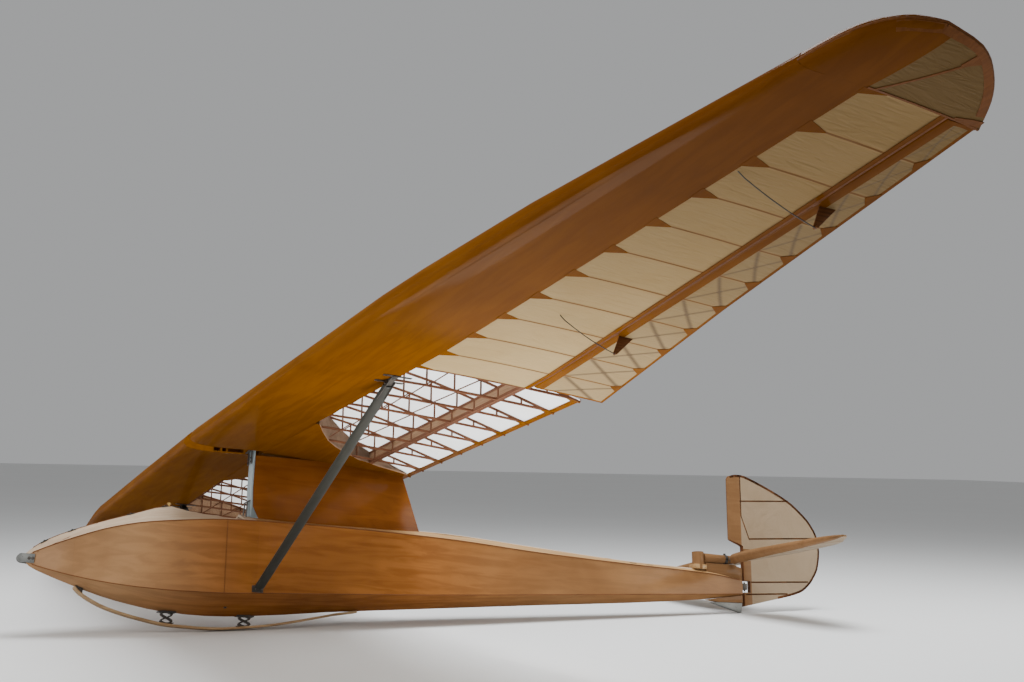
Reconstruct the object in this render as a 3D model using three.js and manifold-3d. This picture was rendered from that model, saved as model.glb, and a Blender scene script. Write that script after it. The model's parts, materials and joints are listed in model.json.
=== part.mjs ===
// A single-seat strut-braced wooden sailplane, parked on its skids with one wing tip down.
// Datum frame: millimetres, x forward, y to port, z up, zero at the foot of the main spar
// on the centreline. The last section turns that frame into the parked attitude.
import * as THREE from 'three';
import * as BufferGeometryUtils from 'three/addons/utils/BufferGeometryUtils.js';
import Module from 'manifold-3d';

const wasm = await Module();
wasm.setup();

// Driving dimensions
const RIB_PITCH = 304.8;
const INNER_BAYS = 8;
const LAST_RIB = 19;
const SEAM = 0.3;
const MOVING_GAP = 7;
const ROOT_Y = 70;
const CHORD = { nose: 492, tail: -1034 };
const INCIDENCE = 0.0655;
const TAPER_START = 2750;
const LAST_RIB_Y = LAST_RIB * RIB_PITCH;
const PANEL_Y = INNER_BAYS * RIB_PITCH;
const WASH_UP = 0.0394;

// Plan of one wing half: distance from the centreline and the three lines' x there
const PLAN = [
  { y: 0, nose: 492, ply: 0, tail: -1034 },
  { y: TAPER_START, nose: 450, ply: -80, tail: -1034 },
  { y: 3960, nose: 346, ply: -130, tail: -917 },
  { y: LAST_RIB_Y, nose: 70, ply: -205, tail: -672 },
];
const REAR_SPAR = { inner: -752, outer: -560 };
const INNER_SPAR_X = -688;

// Rounded tip beyond the last rib: the bow's outline from nose to tail
const TIP_NOSE = [{ x: 70, y: LAST_RIB_Y }, { x: 16, y: 5985 }, { x: -80, y: 6103 }, { x: -215, y: 6155 }];
const TIP_TAIL = [{ x: -672, y: LAST_RIB_Y }, { x: -580, y: 5950 }, { x: -480, y: 6060 }, { x: -370, y: 6130 }, { x: -215, y: 6155 }];

// Wing section: share of the chord from the nose, and heights over the chord as shares of it
const SECTION = [
  { t: 0.0, upper: 0.004, lower: -0.004 },
  { t: 0.008, upper: 0.026, lower: -0.013 },
  { t: 0.03, upper: 0.05, lower: -0.02 },
  { t: 0.08, upper: 0.08, lower: -0.022 },
  { t: 0.17, upper: 0.109, lower: -0.016 },
  { t: 0.32, upper: 0.122, lower: -0.004 },
  { t: 0.5, upper: 0.108, lower: 0.002 },
  { t: 0.68, upper: 0.077, lower: 0.004 },
  { t: 0.815, upper: 0.046, lower: 0.003 },
  { t: 0.93, upper: 0.018, lower: 0.001 },
  { t: 1.0, upper: 0.002, lower: -0.002 },
];

// Fuselage stations: keel, chine, upper chine and ridge heights, and the two half widths
const HULL = [
  { x: 1425, keel: -792, chine: -789, wide: 6, rail: -781, top: 5, ridge: -778 },
  { x: 1385, keel: -835, chine: -822, wide: 28, rail: -760, top: 24, ridge: -735 },
  { x: 1290, keel: -876, chine: -853, wide: 72, rail: -716, top: 62, ridge: -668 },
  { x: 1150, keel: -925, chine: -888, wide: 120, rail: -658, top: 108, ridge: -601 },
  { x: 960, keel: -985, chine: -922, wide: 172, rail: -592, top: 160, ridge: -527 },
  { x: 760, keel: -1030, chine: -943, wide: 215, rail: -548, top: 203, ridge: -458 },
  { x: 560, keel: -1060, chine: -954, wide: 247, rail: -524, top: 234, ridge: -400 },
  { x: 300, keel: -1072, chine: -955, wide: 270, rail: -500, top: 252, ridge: -395 },
  { x: 60, keel: -1062, chine: -944, wide: 275, rail: -490, top: 252, ridge: -425 },
  { x: -500, keel: -1005, chine: -915, wide: 262, rail: -485, top: 236, ridge: -432 },
  { x: -1200, keel: -945, chine: -874, wide: 218, rail: -492, top: 192, ridge: -425 },
  { x: -2040, keel: -873, chine: -815, wide: 155, rail: -528, top: 134, ridge: -468 },
  { x: -2800, keel: -812, chine: -762, wide: 105, rail: -548, top: 88, ridge: -512 },
  { x: -3450, keel: -748, chine: -716, wide: 60, rail: -560, top: 50, ridge: -530 },
  { x: -3785, keel: -700, chine: -690, wide: 22, rail: -590, top: 20, ridge: -575 },
];
const BULKHEAD_X = 60;
const FOOTWELL_X = 1150;
const WALL = 14;

const KEEL_SKID = { width: 76, thick: 14 };
const SKID_BENDS = [
  { x: 1112, z: -952 }, { x: 1075, z: -986 }, { x: 1010, z: -1024 }, { x: 919, z: -1064 }, { x: 704, z: -1119 },
  { x: 516, z: -1149 }, { x: 271, z: -1156 }, { x: 48, z: -1139 }, { x: -178, z: -1106 },
  { x: -423, z: -1054 }, { x: -555, z: -1024 }, { x: -700, z: -1000 },
];
const SKID_X = [1112, 1094, 1075, 1040, 1005, 960, 919, 865, 810, 755, 704, 640, 580, 516, 430, 350, 271, 190, 120, 48, -65, -178, -300, -423, -555, -700];
const SKID_LINE = SKID_X.map((x) => ({ x, z: smoothly(SKID_BENDS, 'x', x, 'z') }));

const STERN_X = -3785;
const RUDDER_AXIS_X = -3815;
const TAIL_AXIS = { x: -3680, z: -440 };
const TAIL_TRIM = THREE.MathUtils.degToRad(5);
const AILERON_DROOP = THREE.MathUtils.degToRad(5);

// Colours and finishes
function finish(colour, roughness, metalness = 0) {
  return new THREE.MeshStandardMaterial({ color: colour, roughness, metalness });
}
const VARNISHED_PLY = finish(0xa8662a, 0.28);
const HONEY_PLY = finish(0xb98a55, 0.42);
const PALE_PLY = finish(0xc9ad84, 0.6);
const SPRUCE = finish(0xa07650, 0.6);
const FABRIC = finish(0xb8a47e, 0.75);
const STRUT_PAINT = finish(0x4c4d40, 0.45);
const POST_PAINT = finish(0x8c9ca2, 0.5);
const DARK_METAL = finish(0x3b3a38, 0.5, 0.8);
const BRIGHT_METAL = finish(0x8f9496, 0.4, 0.9);
const LEATHER = finish(0x4d3426, 0.7);
const PANEL_BLACK = finish(0x1d1d1e, 0.6);

const datum = new THREE.Group();

function add(name, geometry, material) {
  const mesh = new THREE.Mesh(geometry, material);
  mesh.name = name;
  datum.add(mesh);
  return mesh;
}

// Solids and sheets
function volumeOf(points, triangles) {
  let sum = 0;
  for (const [a, b, c] of triangles) {
    const [p, q, r] = [points[a], points[b], points[c]];
    sum += p[0] * (q[1] * r[2] - q[2] * r[1]) + p[1] * (q[2] * r[0] - q[0] * r[2])
      + p[2] * (q[0] * r[1] - q[1] * r[0]);
  }
  return sum;
}

function closedMesh(points, triangles) {
  const outward = volumeOf(points, triangles) > 0;
  const geometry = new THREE.BufferGeometry();
  geometry.setAttribute('position', new THREE.Float32BufferAttribute(points.flat(), 3));
  geometry.setIndex(triangles.flatMap(([a, b, c]) => (outward ? [a, b, c] : [a, c, b])));
  return geometry;
}

// A loft through closed rings of equal length; flat names the axis that each end ring ignores
function loft(rings, flat) {
  const count = rings[0].length;
  const axes = { x: [1, 2], y: [0, 2], z: [0, 1] }[flat];
  const points = rings.flat();
  const triangles = [];
  for (let i = 0; i + 1 < rings.length; i += 1) {
    for (let j = 0; j < count; j += 1) {
      const k = (j + 1) % count;
      const [a, b, c, d] = [i * count + j, i * count + k, (i + 1) * count + k, (i + 1) * count + j];
      triangles.push([a, b, c], [a, c, d]);
    }
  }
  const ends = [{ ring: rings[0], start: 0 }, { ring: rings.at(-1), start: (rings.length - 1) * count }];
  ends.forEach(({ ring, start }, end) => {
    const outline = ring.map((p) => new THREE.Vector2(p[axes[0]], p[axes[1]]));
    const clockwise = THREE.ShapeUtils.isClockWise(outline);
    for (const face of THREE.ShapeUtils.triangulateShape(outline, [])) {
      const [a, b, c] = face.map((n) => start + n);
      triangles.push((end === 1) === clockwise ? [a, c, b] : [a, b, c]);
    }
  });
  return closedMesh(points, orientEnds(points, triangles, count, rings.length));
}

// The end faces are wound to agree with the sides they meet
function orientEnds(points, triangles, count, ringCount) {
  const sideFaces = 2 * count * (ringCount - 1);
  const used = new Set();
  for (const [a, b, c] of triangles.slice(0, sideFaces)) {
    used.add(`${a},${b}`).add(`${b},${c}`).add(`${c},${a}`);
  }
  const groups = [[], []];
  for (const face of triangles.slice(sideFaces)) {
    groups[face[0] < count ? 0 : 1].push(face);
  }
  const faces = groups.flatMap((group) => {
    const clash = group.some(([a, b, c]) => used.has(`${a},${b}`) || used.has(`${b},${c}`) || used.has(`${c},${a}`));
    return clash ? group.map(([a, b, c]) => [a, c, b]) : group;
  });
  return triangles.slice(0, sideFaces).concat(faces);
}

function box(size, centre) {
  const geometry = new THREE.BoxGeometry(...size);
  geometry.translate(...centre);
  return geometry;
}

// A round bar between two points
function rod(from, to, radius, sides = 10, endRadius = radius) {
  const [a, b] = [new THREE.Vector3(...from), new THREE.Vector3(...to)];
  const span = b.clone().sub(a);
  const geometry = new THREE.CylinderGeometry(endRadius, radius, span.length(), sides);
  geometry.applyQuaternion(new THREE.Quaternion().setFromUnitVectors(
    new THREE.Vector3(0, 1, 0), span.clone().normalize()));
  const middle = a.add(b).multiplyScalar(0.5);
  geometry.translate(middle.x, middle.y, middle.z);
  return geometry;
}

// A square stick between two points, with its wide side turned to the given direction
function stick(from, to, wide, deep, up = [0, 0, 1]) {
  const [a, b] = [new THREE.Vector3(...from), new THREE.Vector3(...to)];
  const along = b.clone().sub(a);
  const length = along.length();
  along.normalize();
  const side = new THREE.Vector3().crossVectors(new THREE.Vector3(...up), along).normalize();
  const normal = new THREE.Vector3().crossVectors(along, side);
  const geometry = new THREE.BoxGeometry(length, wide, deep);
  geometry.applyMatrix4(new THREE.Matrix4().makeBasis(along, side, normal));
  const middle = a.add(b).multiplyScalar(0.5);
  geometry.translate(middle.x, middle.y, middle.z);
  return geometry;
}

// Joins and cuts
function toSolid(geometry) {
  const plain = geometry.clone();
  plain.deleteAttribute('normal');
  plain.deleteAttribute('uv');
  const merged = BufferGeometryUtils.mergeVertices(plain, 1e-4);
  return new wasm.Manifold(new wasm.Mesh({
    numProp: 3,
    vertProperties: new Float32Array(merged.attributes.position.array),
    triVerts: new Uint32Array(merged.index.array),
  }));
}

function fromSolid(solid) {
  const mesh = solid.getMesh();
  const geometry = new THREE.BufferGeometry();
  geometry.setAttribute('position', new THREE.BufferAttribute(new Float32Array(mesh.vertProperties), 3));
  geometry.setIndex(new THREE.BufferAttribute(new Uint32Array(mesh.triVerts), 1));
  return geometry;
}

function join(geometries) {
  return fromSolid(geometries.map(toSolid).reduce((sum, solid) => sum.add(solid)));
}

function cut(geometry, ...tools) {
  return fromSolid(tools.map(toSolid).reduce((rest, solid) => rest.subtract(solid), toSolid(geometry)));
}

function common(geometry, tool) {
  return fromSolid(toSolid(geometry).intersect(toSolid(tool)));
}

// A value read from a table's column at a place along it
function along(table, key, place, column) {
  const rows = table[0][key] < table.at(-1)[key] ? table : [...table].reverse();
  if (place <= rows[0][key]) return rows[0][column];
  for (let i = 0; i + 1 < rows.length; i += 1) {
    const [low, high] = [rows[i], rows[i + 1]];
    if (place <= high[key]) {
      const share = (place - low[key]) / (high[key] - low[key]);
      return low[column] + share * (high[column] - low[column]);
    }
  }
  return rows.at(-1)[column];
}

// The same with a smooth curve through the rows, which never swings past them
function smoothly(table, key, place, column) {
  const rows = table[0][key] < table.at(-1)[key] ? table : [...table].reverse();
  if (place <= rows[0][key]) return rows[0][column];
  if (place >= rows.at(-1)[key]) return rows.at(-1)[column];
  const slope = (i) => (rows[i + 1][column] - rows[i][column]) / (rows[i + 1][key] - rows[i][key]);
  const turn = (i) => {
    if (i === 0) return slope(0);
    if (i === rows.length - 1) return slope(i - 1);
    const [before, after] = [slope(i - 1), slope(i)];
    return before * after <= 0 ? 0 : 2 * before * after / (before + after);
  };
  const i = rows.findIndex((row, n) => place <= rows[n + 1][key]);
  const width = rows[i + 1][key] - rows[i][key];
  const t = (place - rows[i][key]) / width;
  return (1 + 2 * t) * (1 - t) ** 2 * rows[i][column] + t * (1 - t) ** 2 * width * turn(i)
    + t * t * (3 - 2 * t) * rows[i + 1][column] + t * t * (t - 1) * width * turn(i + 1);
}

// A curve through points of the plane, with extra points between them
function rounded(points, extra = 2) {
  const at = (i) => points[Math.min(Math.max(i, 0), points.length - 1)];
  return points.flatMap((point, i) => {
    if (i === points.length - 1) return [point];
    const corners = [at(i - 1), at(i), at(i + 1), at(i + 2)];
    return Array.from({ length: extra + 1 }, (_, n) => {
      const t = n / (extra + 1);
      const shares = [-t + 2 * t * t - t ** 3, 2 - 5 * t * t + 3 * t ** 3, t + 4 * t * t - 3 * t ** 3, t ** 3 - t * t];
      return [0, 1].map((axis) => corners.reduce((sum, corner, k) => sum + corner[axis] * shares[k] / 2, 0));
    });
  });
}

// Wing surfaces
const plan = (y, column) => (column === 'nose' ? smoothly : along)(PLAN, 'y', y, column);
const spanRise = (y) => Math.max(0, y - TAPER_START) * WASH_UP;

function chordHeight(y, x) {
  const [nose, tail] = [plan(y, 'nose'), plan(y, 'tail')];
  const [noseZ, tailZ] = [34 + spanRise(y), spanRise(y) + tail * INCIDENCE];
  return tailZ + (noseZ - tailZ) * (x - tail) / (nose - tail);
}

function surface(y, x, column) {
  const [nose, tail] = [plan(y, 'nose'), plan(y, 'tail')];
  const share = (nose - x) / (nose - tail);
  return chordHeight(y, x) + (nose - tail) * smoothly(SECTION, 't', share, column);
}

// The leading edge box has fixed shares of the distance from nose to ply edge
const NOSE_SHARES = [0, 0.012, 0.035, 0.08, 0.15, 0.25, 0.38, 0.55, 0.76, 1];
function noseRing(y, side) {
  const [nose, ply] = [plan(y, 'nose'), plan(y, 'ply')];
  const stations = NOSE_SHARES.map((share) => nose - share * (nose - ply));
  const over = stations.map((x) => [x, side * y, surface(y, x, 'upper')]);
  const under = stations.map((x) => [x, side * y, surface(y, x, 'lower')]).reverse();
  return [...over, ...under];
}

// A panel ring between the ply edge and the hinge line
const PANEL_SHARES = [0, 0.25, 0.5, 0.75, 1];
function panelRing(y, side) {
  const hinge = hingeAt(y);
  const [front, back] = [plan(y, 'ply') - SEAM, hinge.x + hinge.radius + MOVING_GAP];
  const stations = PANEL_SHARES.map((share) => front + share * (back - front));
  const over = stations.map((x) => [x, side * y, surface(y, x, 'upper')]);
  const under = stations.map((x) => [x, side * y, surface(y, x, 'lower')]).reverse();
  return [...over, ...under];
}

// The straight aileron hinge line, and half the wing's depth along it
function hingeEnd(y, x) {
  const [high, low] = [surface(y, x, 'upper'), surface(y, x, 'lower')];
  return { y, x, z: (high + low) / 2, radius: (high - low) / 2 - 1 };
}

const HINGE = [hingeEnd(PANEL_Y, REAR_SPAR.inner), hingeEnd(LAST_RIB_Y, REAR_SPAR.outer)];

function hingeAt(y) {
  const read = (column) => along(HINGE, 'y', y, column);
  return { x: read('x'), z: read('z'), radius: read('radius') };
}

const OUTER_STATIONS = [TAPER_START, 3100, 3500, 3960, 4350, 4750, 5100, 5450, LAST_RIB_Y];

function wingHalf(label, side) {
  add(`leading_edge_${label}`, leadingEdge(side), VARNISHED_PLY);
  const panelStations = [PANEL_Y + SEAM, ...OUTER_STATIONS];
  add(`wing_panel_${label}`, loft(panelStations.map((y) => panelRing(y, side)), 'y'), FABRIC);
  add(`wing_tip_${label}`, wingTip(side), FABRIC);
  add(`wing_frame_${label}`, innerFrame(side), SPRUCE);
  add(`upper_cover_${label}`, skin(side, 0, -COVER_THICK), FABRIC);
  add(`root_fillet_${label}`, filletPlate(side, -SEAM, 3), VARNISHED_PLY);
  add(`aileron_${label}`, aileron(side), FABRIC);
}

// Root pockets show the open rib where the two halves meet: front and back of each pocket
const ROOT_POCKETS = [[296, 250], [240, 211], [201, 96]];
const POCKET_DEEP = 90;
function leadingEdge(side) {
  const body = loft([ROOT_Y, 1250, ...OUTER_STATIONS].map((y) => noseRing(y, side)), 'y');
  const pockets = ROOT_POCKETS.map(([front, back]) => {
    const xs = [front, back];
    const ring = (y) => [
      ...xs.map((x) => [x, side * y, surface(ROOT_Y, x, 'upper') - 10]),
      ...xs.map((x) => [x, side * y, surface(ROOT_Y, x, 'lower') + 8]).reverse(),
    ];
    return loft([ring(ROOT_Y - 5), ring(ROOT_Y + POCKET_DEEP)], 'y');
  });
  return cut(body, ...pockets);
}

// The tip is a lens whose edge is the bow and whose inner end is the last rib
const TIP_SHARES = [0, 0.03, 0.12, 0.3, 0.6, 0.85, 1];
function wingTip(side) {
  const inner = LAST_RIB_Y + SEAM;
  const steps = [0, 0.2, 0.4, 0.58, 0.74, 0.86, 0.94, 0.985];
  const rings = steps.map((step) => {
    const y = inner + step * (TIP_NOSE.at(-1).y - inner);
    const [front, back] = bowLimits(y);
    const thin = Math.sqrt(Math.max(0.02, 1 - step * step));
    const heights = TIP_SHARES.map((share) => {
      const x = front + share * (back - front);
      const tail = plan(LAST_RIB_Y, 'tail');
      const [root, here] = [70 - share * (70 - tail), Math.min(70, Math.max(tail, x))].map((at) => (
        ['upper', 'lower'].map((which) => surface(LAST_RIB_Y, at, which))));
      const centre = (here[0] + here[1]) / 2 + (y - LAST_RIB_Y) * WASH_UP;
      const half = Math.max(4, (root[0] - root[1]) / 2 * thin);
      return { x, high: centre + half, low: centre - half };
    });
    return [
      ...heights.map((h) => [h.x, side * y, h.high]),
      ...heights.map((h) => [h.x, side * y, h.low]).reverse(),
    ];
  });
  return loft(rings, 'y');
}

// Front and back x of the tip bow at a distance from the centreline
function bowLimits(y) {
  return [TIP_NOSE, TIP_TAIL].map((line) => smoothly(line, 'y', y, 'x'));
}

// Ribs, rear spar and trailing edge strip of the bays that have no lower covering
const STICK = 14;
const SPAR_WIDE = 22;
function innerFrame(side) {
  const first = ROOT_Y + 12;
  const bars = [];
  const sparX = INNER_SPAR_X;
  const [low, high] = [surface(0, sparX, 'lower'), surface(0, sparX, 'upper') - 6];
  bars.push(box([SPAR_WIDE, PANEL_Y - ROOT_Y, high - low], [sparX, side * (PANEL_Y + ROOT_Y) / 2, (low + high) / 2]));
  const tailX = CHORD.tail + 18;
  bars.push(box([36, PANEL_Y - ROOT_Y, 12], [tailX, side * (PANEL_Y + ROOT_Y) / 2, surface(0, tailX, 'lower') + 6]));
  for (let rib = 0; rib <= INNER_BAYS; rib += 1) {
    const y = rib === 0 ? first : rib * RIB_PITCH - (rib === INNER_BAYS ? STICK / 2 : 0);
    bars.push(ribTruss(y, side));
  }
  return cut(join(bars), skin(side, 40, -(COVER_THICK + SEAM), 3), filletPlate(side, SEAM, 30));
}

// One open rib: bent booms above and below, with posts and diagonals between them
const RIB_X = [0, -0.2, -0.37, -0.533, -0.66, -0.79, -0.9, -1];
function ribTruss(y, side) {
  const front = plan(y, 'ply') - SEAM;
  const back = CHORD.tail + 4;
  const xs = RIB_X.map((share) => front - share * (back - front));
  const over = xs.map((x) => [x, surface(y, x, 'upper') - 4]);
  const under = xs.map((x) => [x, surface(y, x, 'lower')]);
  const boom = (line, depth) => {
    const outline = [...line, ...line.map(([x, z]) => [x, z + depth]).reverse()];
    return slab(outline, side * y, STICK);
  };
  const parts = [boom(over, -11), boom(under, 11)];
  for (let i = 1; i + 2 < xs.length; i += 1) {
    const [x, low, high] = [xs[i], under[i][1] + 2, over[i][1] - 2];
    parts.push(box([8, STICK - 5, high - low], [x, side * y, (low + high) / 2]));
  }
  for (const bay of [0, 1, 2]) {
    const [foot, head] = [under[bay], over[bay + 1]];
    parts.push(stick([foot[0] - 9, side * y, foot[1] + 6], [head[0], side * y, head[1] - 5], STICK - 7, 7));
  }
  parts.push(box([12, STICK, over[0][1] - under[0][1]], [front - 6, side * y, (over[0][1] + under[0][1]) / 2]));
  return join(parts);
}

// A flat plate in the x-z plane, centred on y
function slab(outline, y, thick) {
  const rings = [y - thick / 2, y + thick / 2].map((at) => outline.map(([x, z]) => [x, at, z]));
  return loft(rings, 'y');
}

// The translucent skin above the open bays, between two offsets from the upper surface
const COVER_THICK = 3.6;
function skin(side, high, low, reach = 0) {
  const rings = [ROOT_Y - reach, PANEL_Y + reach].map((y) => {
    const front = plan(y, 'ply') - SEAM;
    const xs = RIB_X.map((share) => front - share * (CHORD.tail + 4 - front));
    const heights = xs.map((x) => surface(y, x, 'upper'));
    if (reach > 0) {
      xs.unshift(xs[0] + reach);
      xs.push(xs.at(-1) - reach);
      heights.unshift(heights[0]);
      heights.push(heights.at(-1));
    }
    return [
      ...xs.map((x, i) => [x, side * y, heights[i] + high]),
      ...xs.map((x, i) => [x, side * y, heights[i] + low]).reverse(),
    ];
  });
  return loft(rings, 'y');
}

// The ply fillet that sweeps from the main spar into the trailing edge at the root
const FILLET = [
  { x: -60, y: 980 }, { x: -140, y: 812 }, { x: -235, y: 635 }, { x: -336, y: 498 },
  { x: -457, y: 366 }, { x: -578, y: 264 }, { x: -755, y: 180 }, { x: -1000, y: 104 },
];
function filletPlate(side, lift, thick) {
  const front = [ROOT_Y, 1000].map((y) => [plan(y, 'ply') - 2, y]);
  const outline = [...front, ...FILLET.map(({ x, y }) => [x, y]), [-1000, ROOT_Y]];
  const rings = [lift, lift - thick].map((offset) => outline.map(([x, y]) => [
    x, side * y, surface(0, x, 'lower') + offset]));
  return loft(rings, 'z');
}

// Aileron: round nose about its hinge line, tapering to a thin trailing edge
const AILERON_START = PANEL_Y + 34;
const AILERON_END = LAST_RIB_Y - 12;
const HORN_PLACES = [3400, 5030];
// Trailing edge of the aileron
const AILERON_TAIL = [{ y: AILERON_START, x: -1150 }, { y: 3960, x: -917 }, { y: AILERON_END, x: -672 }];
function aileron(side) {
  const horns = HORN_PLACES.map((y) => {
    const { x, z, radius } = hingeAt(y);
    const base = z - radius + 4;
    return slab([[x - 6, base], [x - 90, base], [x - 34, base - 72], [x - 20, base - 72]], side * y, 6);
  });
  return join([aileronBody(side), ...horns]);
}

function aileronBody(side) {
  const rings = [AILERON_START, 3960, AILERON_END].map((y) => {
    const { x, z, radius } = hingeAt(y);
    const chord = x - along(AILERON_TAIL, 'y', y, 'x');
    const tilt = Math.atan(INCIDENCE) + AILERON_DROOP;
    const nose = Array.from({ length: 7 }, (_, i) => Math.PI / 2 - i * Math.PI / 6)
      .map((angle) => [radius * Math.cos(angle), radius * Math.sin(angle)]);
    const outline = [...nose, [-chord, -3], [-chord, 3]];
    return outline.map(([u, w]) => [
      x + u * Math.cos(tilt) - w * Math.sin(tilt), side * y, z + u * Math.sin(tilt) + w * Math.cos(tilt)]);
  });
  return loft(rings, 'y');
}

wingHalf('port', 1);
wingHalf('starboard', -1);

// Centre block that closes the gap between the halves behind the front post
const BLOCK_X = [-4, -200, -450, -700, -900, CHORD.tail + 4];
function centreBlock() {
  const half = ROOT_Y - SEAM;
  const ring = (y) => [
    ...BLOCK_X.map((x) => [x, y, surface(0, x, 'upper')]),
    ...BLOCK_X.map((x) => [x, y, surface(0, x, 'lower')]).reverse(),
  ];
  return loft([ring(-half), ring(half)], 'y');
}
add('wing_centre_block', centreBlock(), VARNISHED_PLY);

// Fuselage
const hull = (x, column) => smoothly(HULL, 'x', x, column);

function hullRing(row, inset = 0) {
  const { x, keel, chine, wide, rail, top, ridge } = row;
  const w = Math.max(1, wide - inset);
  const u = Math.max(1, top - inset);
  return [
    [x, 0, keel + inset * 1.15], [x, w, chine + inset * 0.4], [x, u, rail - inset * 0.2],
    [x, 0, ridge - inset * 1.1], [x, -u, rail - inset * 0.2], [x, -w, chine + inset * 0.4],
  ];
}

function hullRow(x) {
  return Object.fromEntries(Object.keys(HULL[0]).map((key) => [key, key === 'x' ? x : hull(x, key)]));
}

// A cutter a little larger than the hull, and a piece trimmed to sit on the planking
function hullTool() {
  return loft([...frontRows, ...rearRows.slice(1)].map((row) => hullRing(row, -SEAM)), 'x');
}

function onHull(geometry, ...others) {
  return cut(geometry, hullTool(), ...others);
}

const FRONT_X = [1425, 1410, 1385, 1340, 1290, 1220, 1150, 1055, 960, 860, 760, 660, 560, 430, 300, 180, BULKHEAD_X];
const REAR_X = [BULKHEAD_X, -220, -500, -850, -1200, -1620, -2040, -2420, -2800, -3125, -3450, -3620, STERN_X];
const frontRows = FRONT_X.map(hullRow);
const rearRows = REAR_X.map(hullRow);
const cabinRows = frontRows.filter(({ x }) => x < FOOTWELL_X && x > BULKHEAD_X);

// The cockpit's inside, open behind, from the foot well to the bulkhead
function cockpitSpace() {
  const rows = [hullRow(FOOTWELL_X), ...cabinRows, hullRow(BULKHEAD_X)];
  const rings = rows.map((row) => hullRing(row, WALL));
  rings.at(-1).forEach((point) => { point[0] -= 1; });
  return loft(rings, 'x');
}

// Everything above one line of the hull, the chine or the rail, as a cutting block
function above(line, lift) {
  const rings = frontRows.map((row) => {
    const [low, high, half] = [row[line] + lift, row.rail + 400, 400];
    const x = row.x === BULKHEAD_X ? row.x - 5 : row.x;
    return [[x, -half, low], [x, half, low], [x, half, high], [x, -half, high]];
  });
  rings[0] = rings[0].map(([, y, z]) => [FRONT_X[0] + 15, y, z]);
  return loft(rings, 'x');
}

// Plan of the cockpit opening
const COCKPIT_BACK = 122;
const OPENING = [
  { x: 568, y: 0 }, { x: 540, y: 22 }, { x: 495, y: 50 }, { x: 450, y: 86 }, { x: 400, y: 116 }, { x: 352, y: 140 },
  { x: 290, y: 170 }, { x: 222, y: 196 }, { x: 165, y: 208 }, { x: COCKPIT_BACK, y: 208 },
];
function openingTool() {
  const outline = [...OPENING.map(({ x, y }) => [x, y]), ...OPENING.slice(1).reverse().map(({ x, y }) => [x, -y])];
  const rings = [-700, -200].map((z) => outline.map(([x, y]) => [x, y, z]));
  return loft(rings, 'z');
}

const frontShell = cut(loft(frontRows.map((row) => hullRing(row)), 'x'), cockpitSpace(), openingTool());
const boat = cut(frontShell, above('rail', -SEAM));
const planking = cut(boat, box([600, 800, 900], [FOOTWELL_X + 300 - SEAM, 0, -750]));
add('nose_block', common(boat, box([600, 800, 900], [FOOTWELL_X + 300, 0, -750])), HONEY_PLY);
add('fuselage_bottom', cut(planking, above('chine', -SEAM)), HONEY_PLY);
for (const [label, side] of [['port', 1], ['starboard', -1]]) {
  const half = box([1400, 400, 700], [600, side * 200, -750]);
  add(`fuselage_side_${label}`, common(common(planking, above('chine', 0)), half), HONEY_PLY);
}

// The deck is one sheet ahead of the seat and a rim round the rest of the opening
const RIM_X = 450;
const deck = common(frontShell, above('rail', 0));
add('nose_deck', cut(deck, box([800, 800, 900], [RIM_X - 400 + SEAM, 0, -500])), PALE_PLY);
add('cockpit_rim', common(deck, box([800, 800, 900], [RIM_X - 400, 0, -500])), PALE_PLY);
add('fuselage_rear', fuselageRear(), HONEY_PLY);

function fuselageRear() {
  const rings = rearRows.map((row) => hullRing(row));
  rings[0] = hullRing(hullRow(BULKHEAD_X - SEAM));
  return loft(rings, 'x');
}

// Cockpit furniture, trimmed to the inside of the planking
function inCockpit(geometry) {
  const rows = [hullRow(FOOTWELL_X - 2), ...cabinRows, hullRow(BULKHEAD_X)];
  return common(geometry, loft(rows.map((row) => hullRing(row, WALL + 1)), 'x'));
}
add('cockpit_floor', inCockpit(box([960, 600, 10], [650, 0, -965])), PALE_PLY);
add('cockpit_seat', inCockpit(join([
  box([330, 420, 22], [300, 0, -899]),
  box([28, 420, 60], [450, 0, -918]),
  stick([140, 0, -905], [96, 0, -560], 400, 22, [1, 0, 0]),
])), LEATHER);
add('seat_riser', inCockpit(box([260, 300, 49], [290, 0, -935])), PALE_PLY);
add('instrument_panel', inCockpit(box([12, 420, 150], [640, 0, -500])), PANEL_BLACK);
add('control_stick', join([
  rod([520, 0, -954], [470, 0, -660], 10, 10),
  rod([472, 0, -672], [458, 0, -590], 15, 10),
  box([60, 50, 14], [520, 0, -952]),
]), DARK_METAL);
add('rudder_bar', join([
  box([26, 300, 20], [905, 0, -905]),
  rod([905, 0, -959.5], [905, 0, -900], 14, 10),
]), SPRUCE);

// Sternpost wedge below the rear fuselage and its wear plate
add('tail_skid', slab([[-3460, -749], [STERN_X + 2, -701], [STERN_X + 2, -757], [-3560, -762]], 0, 40), HONEY_PLY);
add('tail_skid_plate', slab([[-3500, -768], [-3560, -762 - SEAM], [STERN_X + 2, -757 - SEAM], [-3772, -830], [-3755, -830]], 0, 26), BRIGHT_METAL);

// Nose hook
add('nose_hook', onHull(join([
  ...[1, -1].map((side) => stick([1362, side * 42, -793], [1434, side * 20, -789], 6, 54)),
  ...[1, -1].map((side) => rod([1432, side * 17, -789], [1432, side * 23, -789], 27, 20)),
  rod([1434, -20, -789], [1434, 20, -789], 12, 12),
  box([30, 34, 24], [1420, 0, -789]),
])), BRIGHT_METAL);

// Main skid, a bowed ash strip under the nose
function skid(grow) {
  const top = SKID_LINE.map(({ x, z }) => [x, z + KEEL_SKID.thick + grow]);
  const bottom = SKID_LINE.map(({ x, z }) => [x, z - (grow ? 80 : 0)]).reverse();
  return slab([...top, ...bottom], 0, KEEL_SKID.width + 2 * grow);
}
add('main_skid', onHull(skid(0)), SPRUCE);

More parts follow.
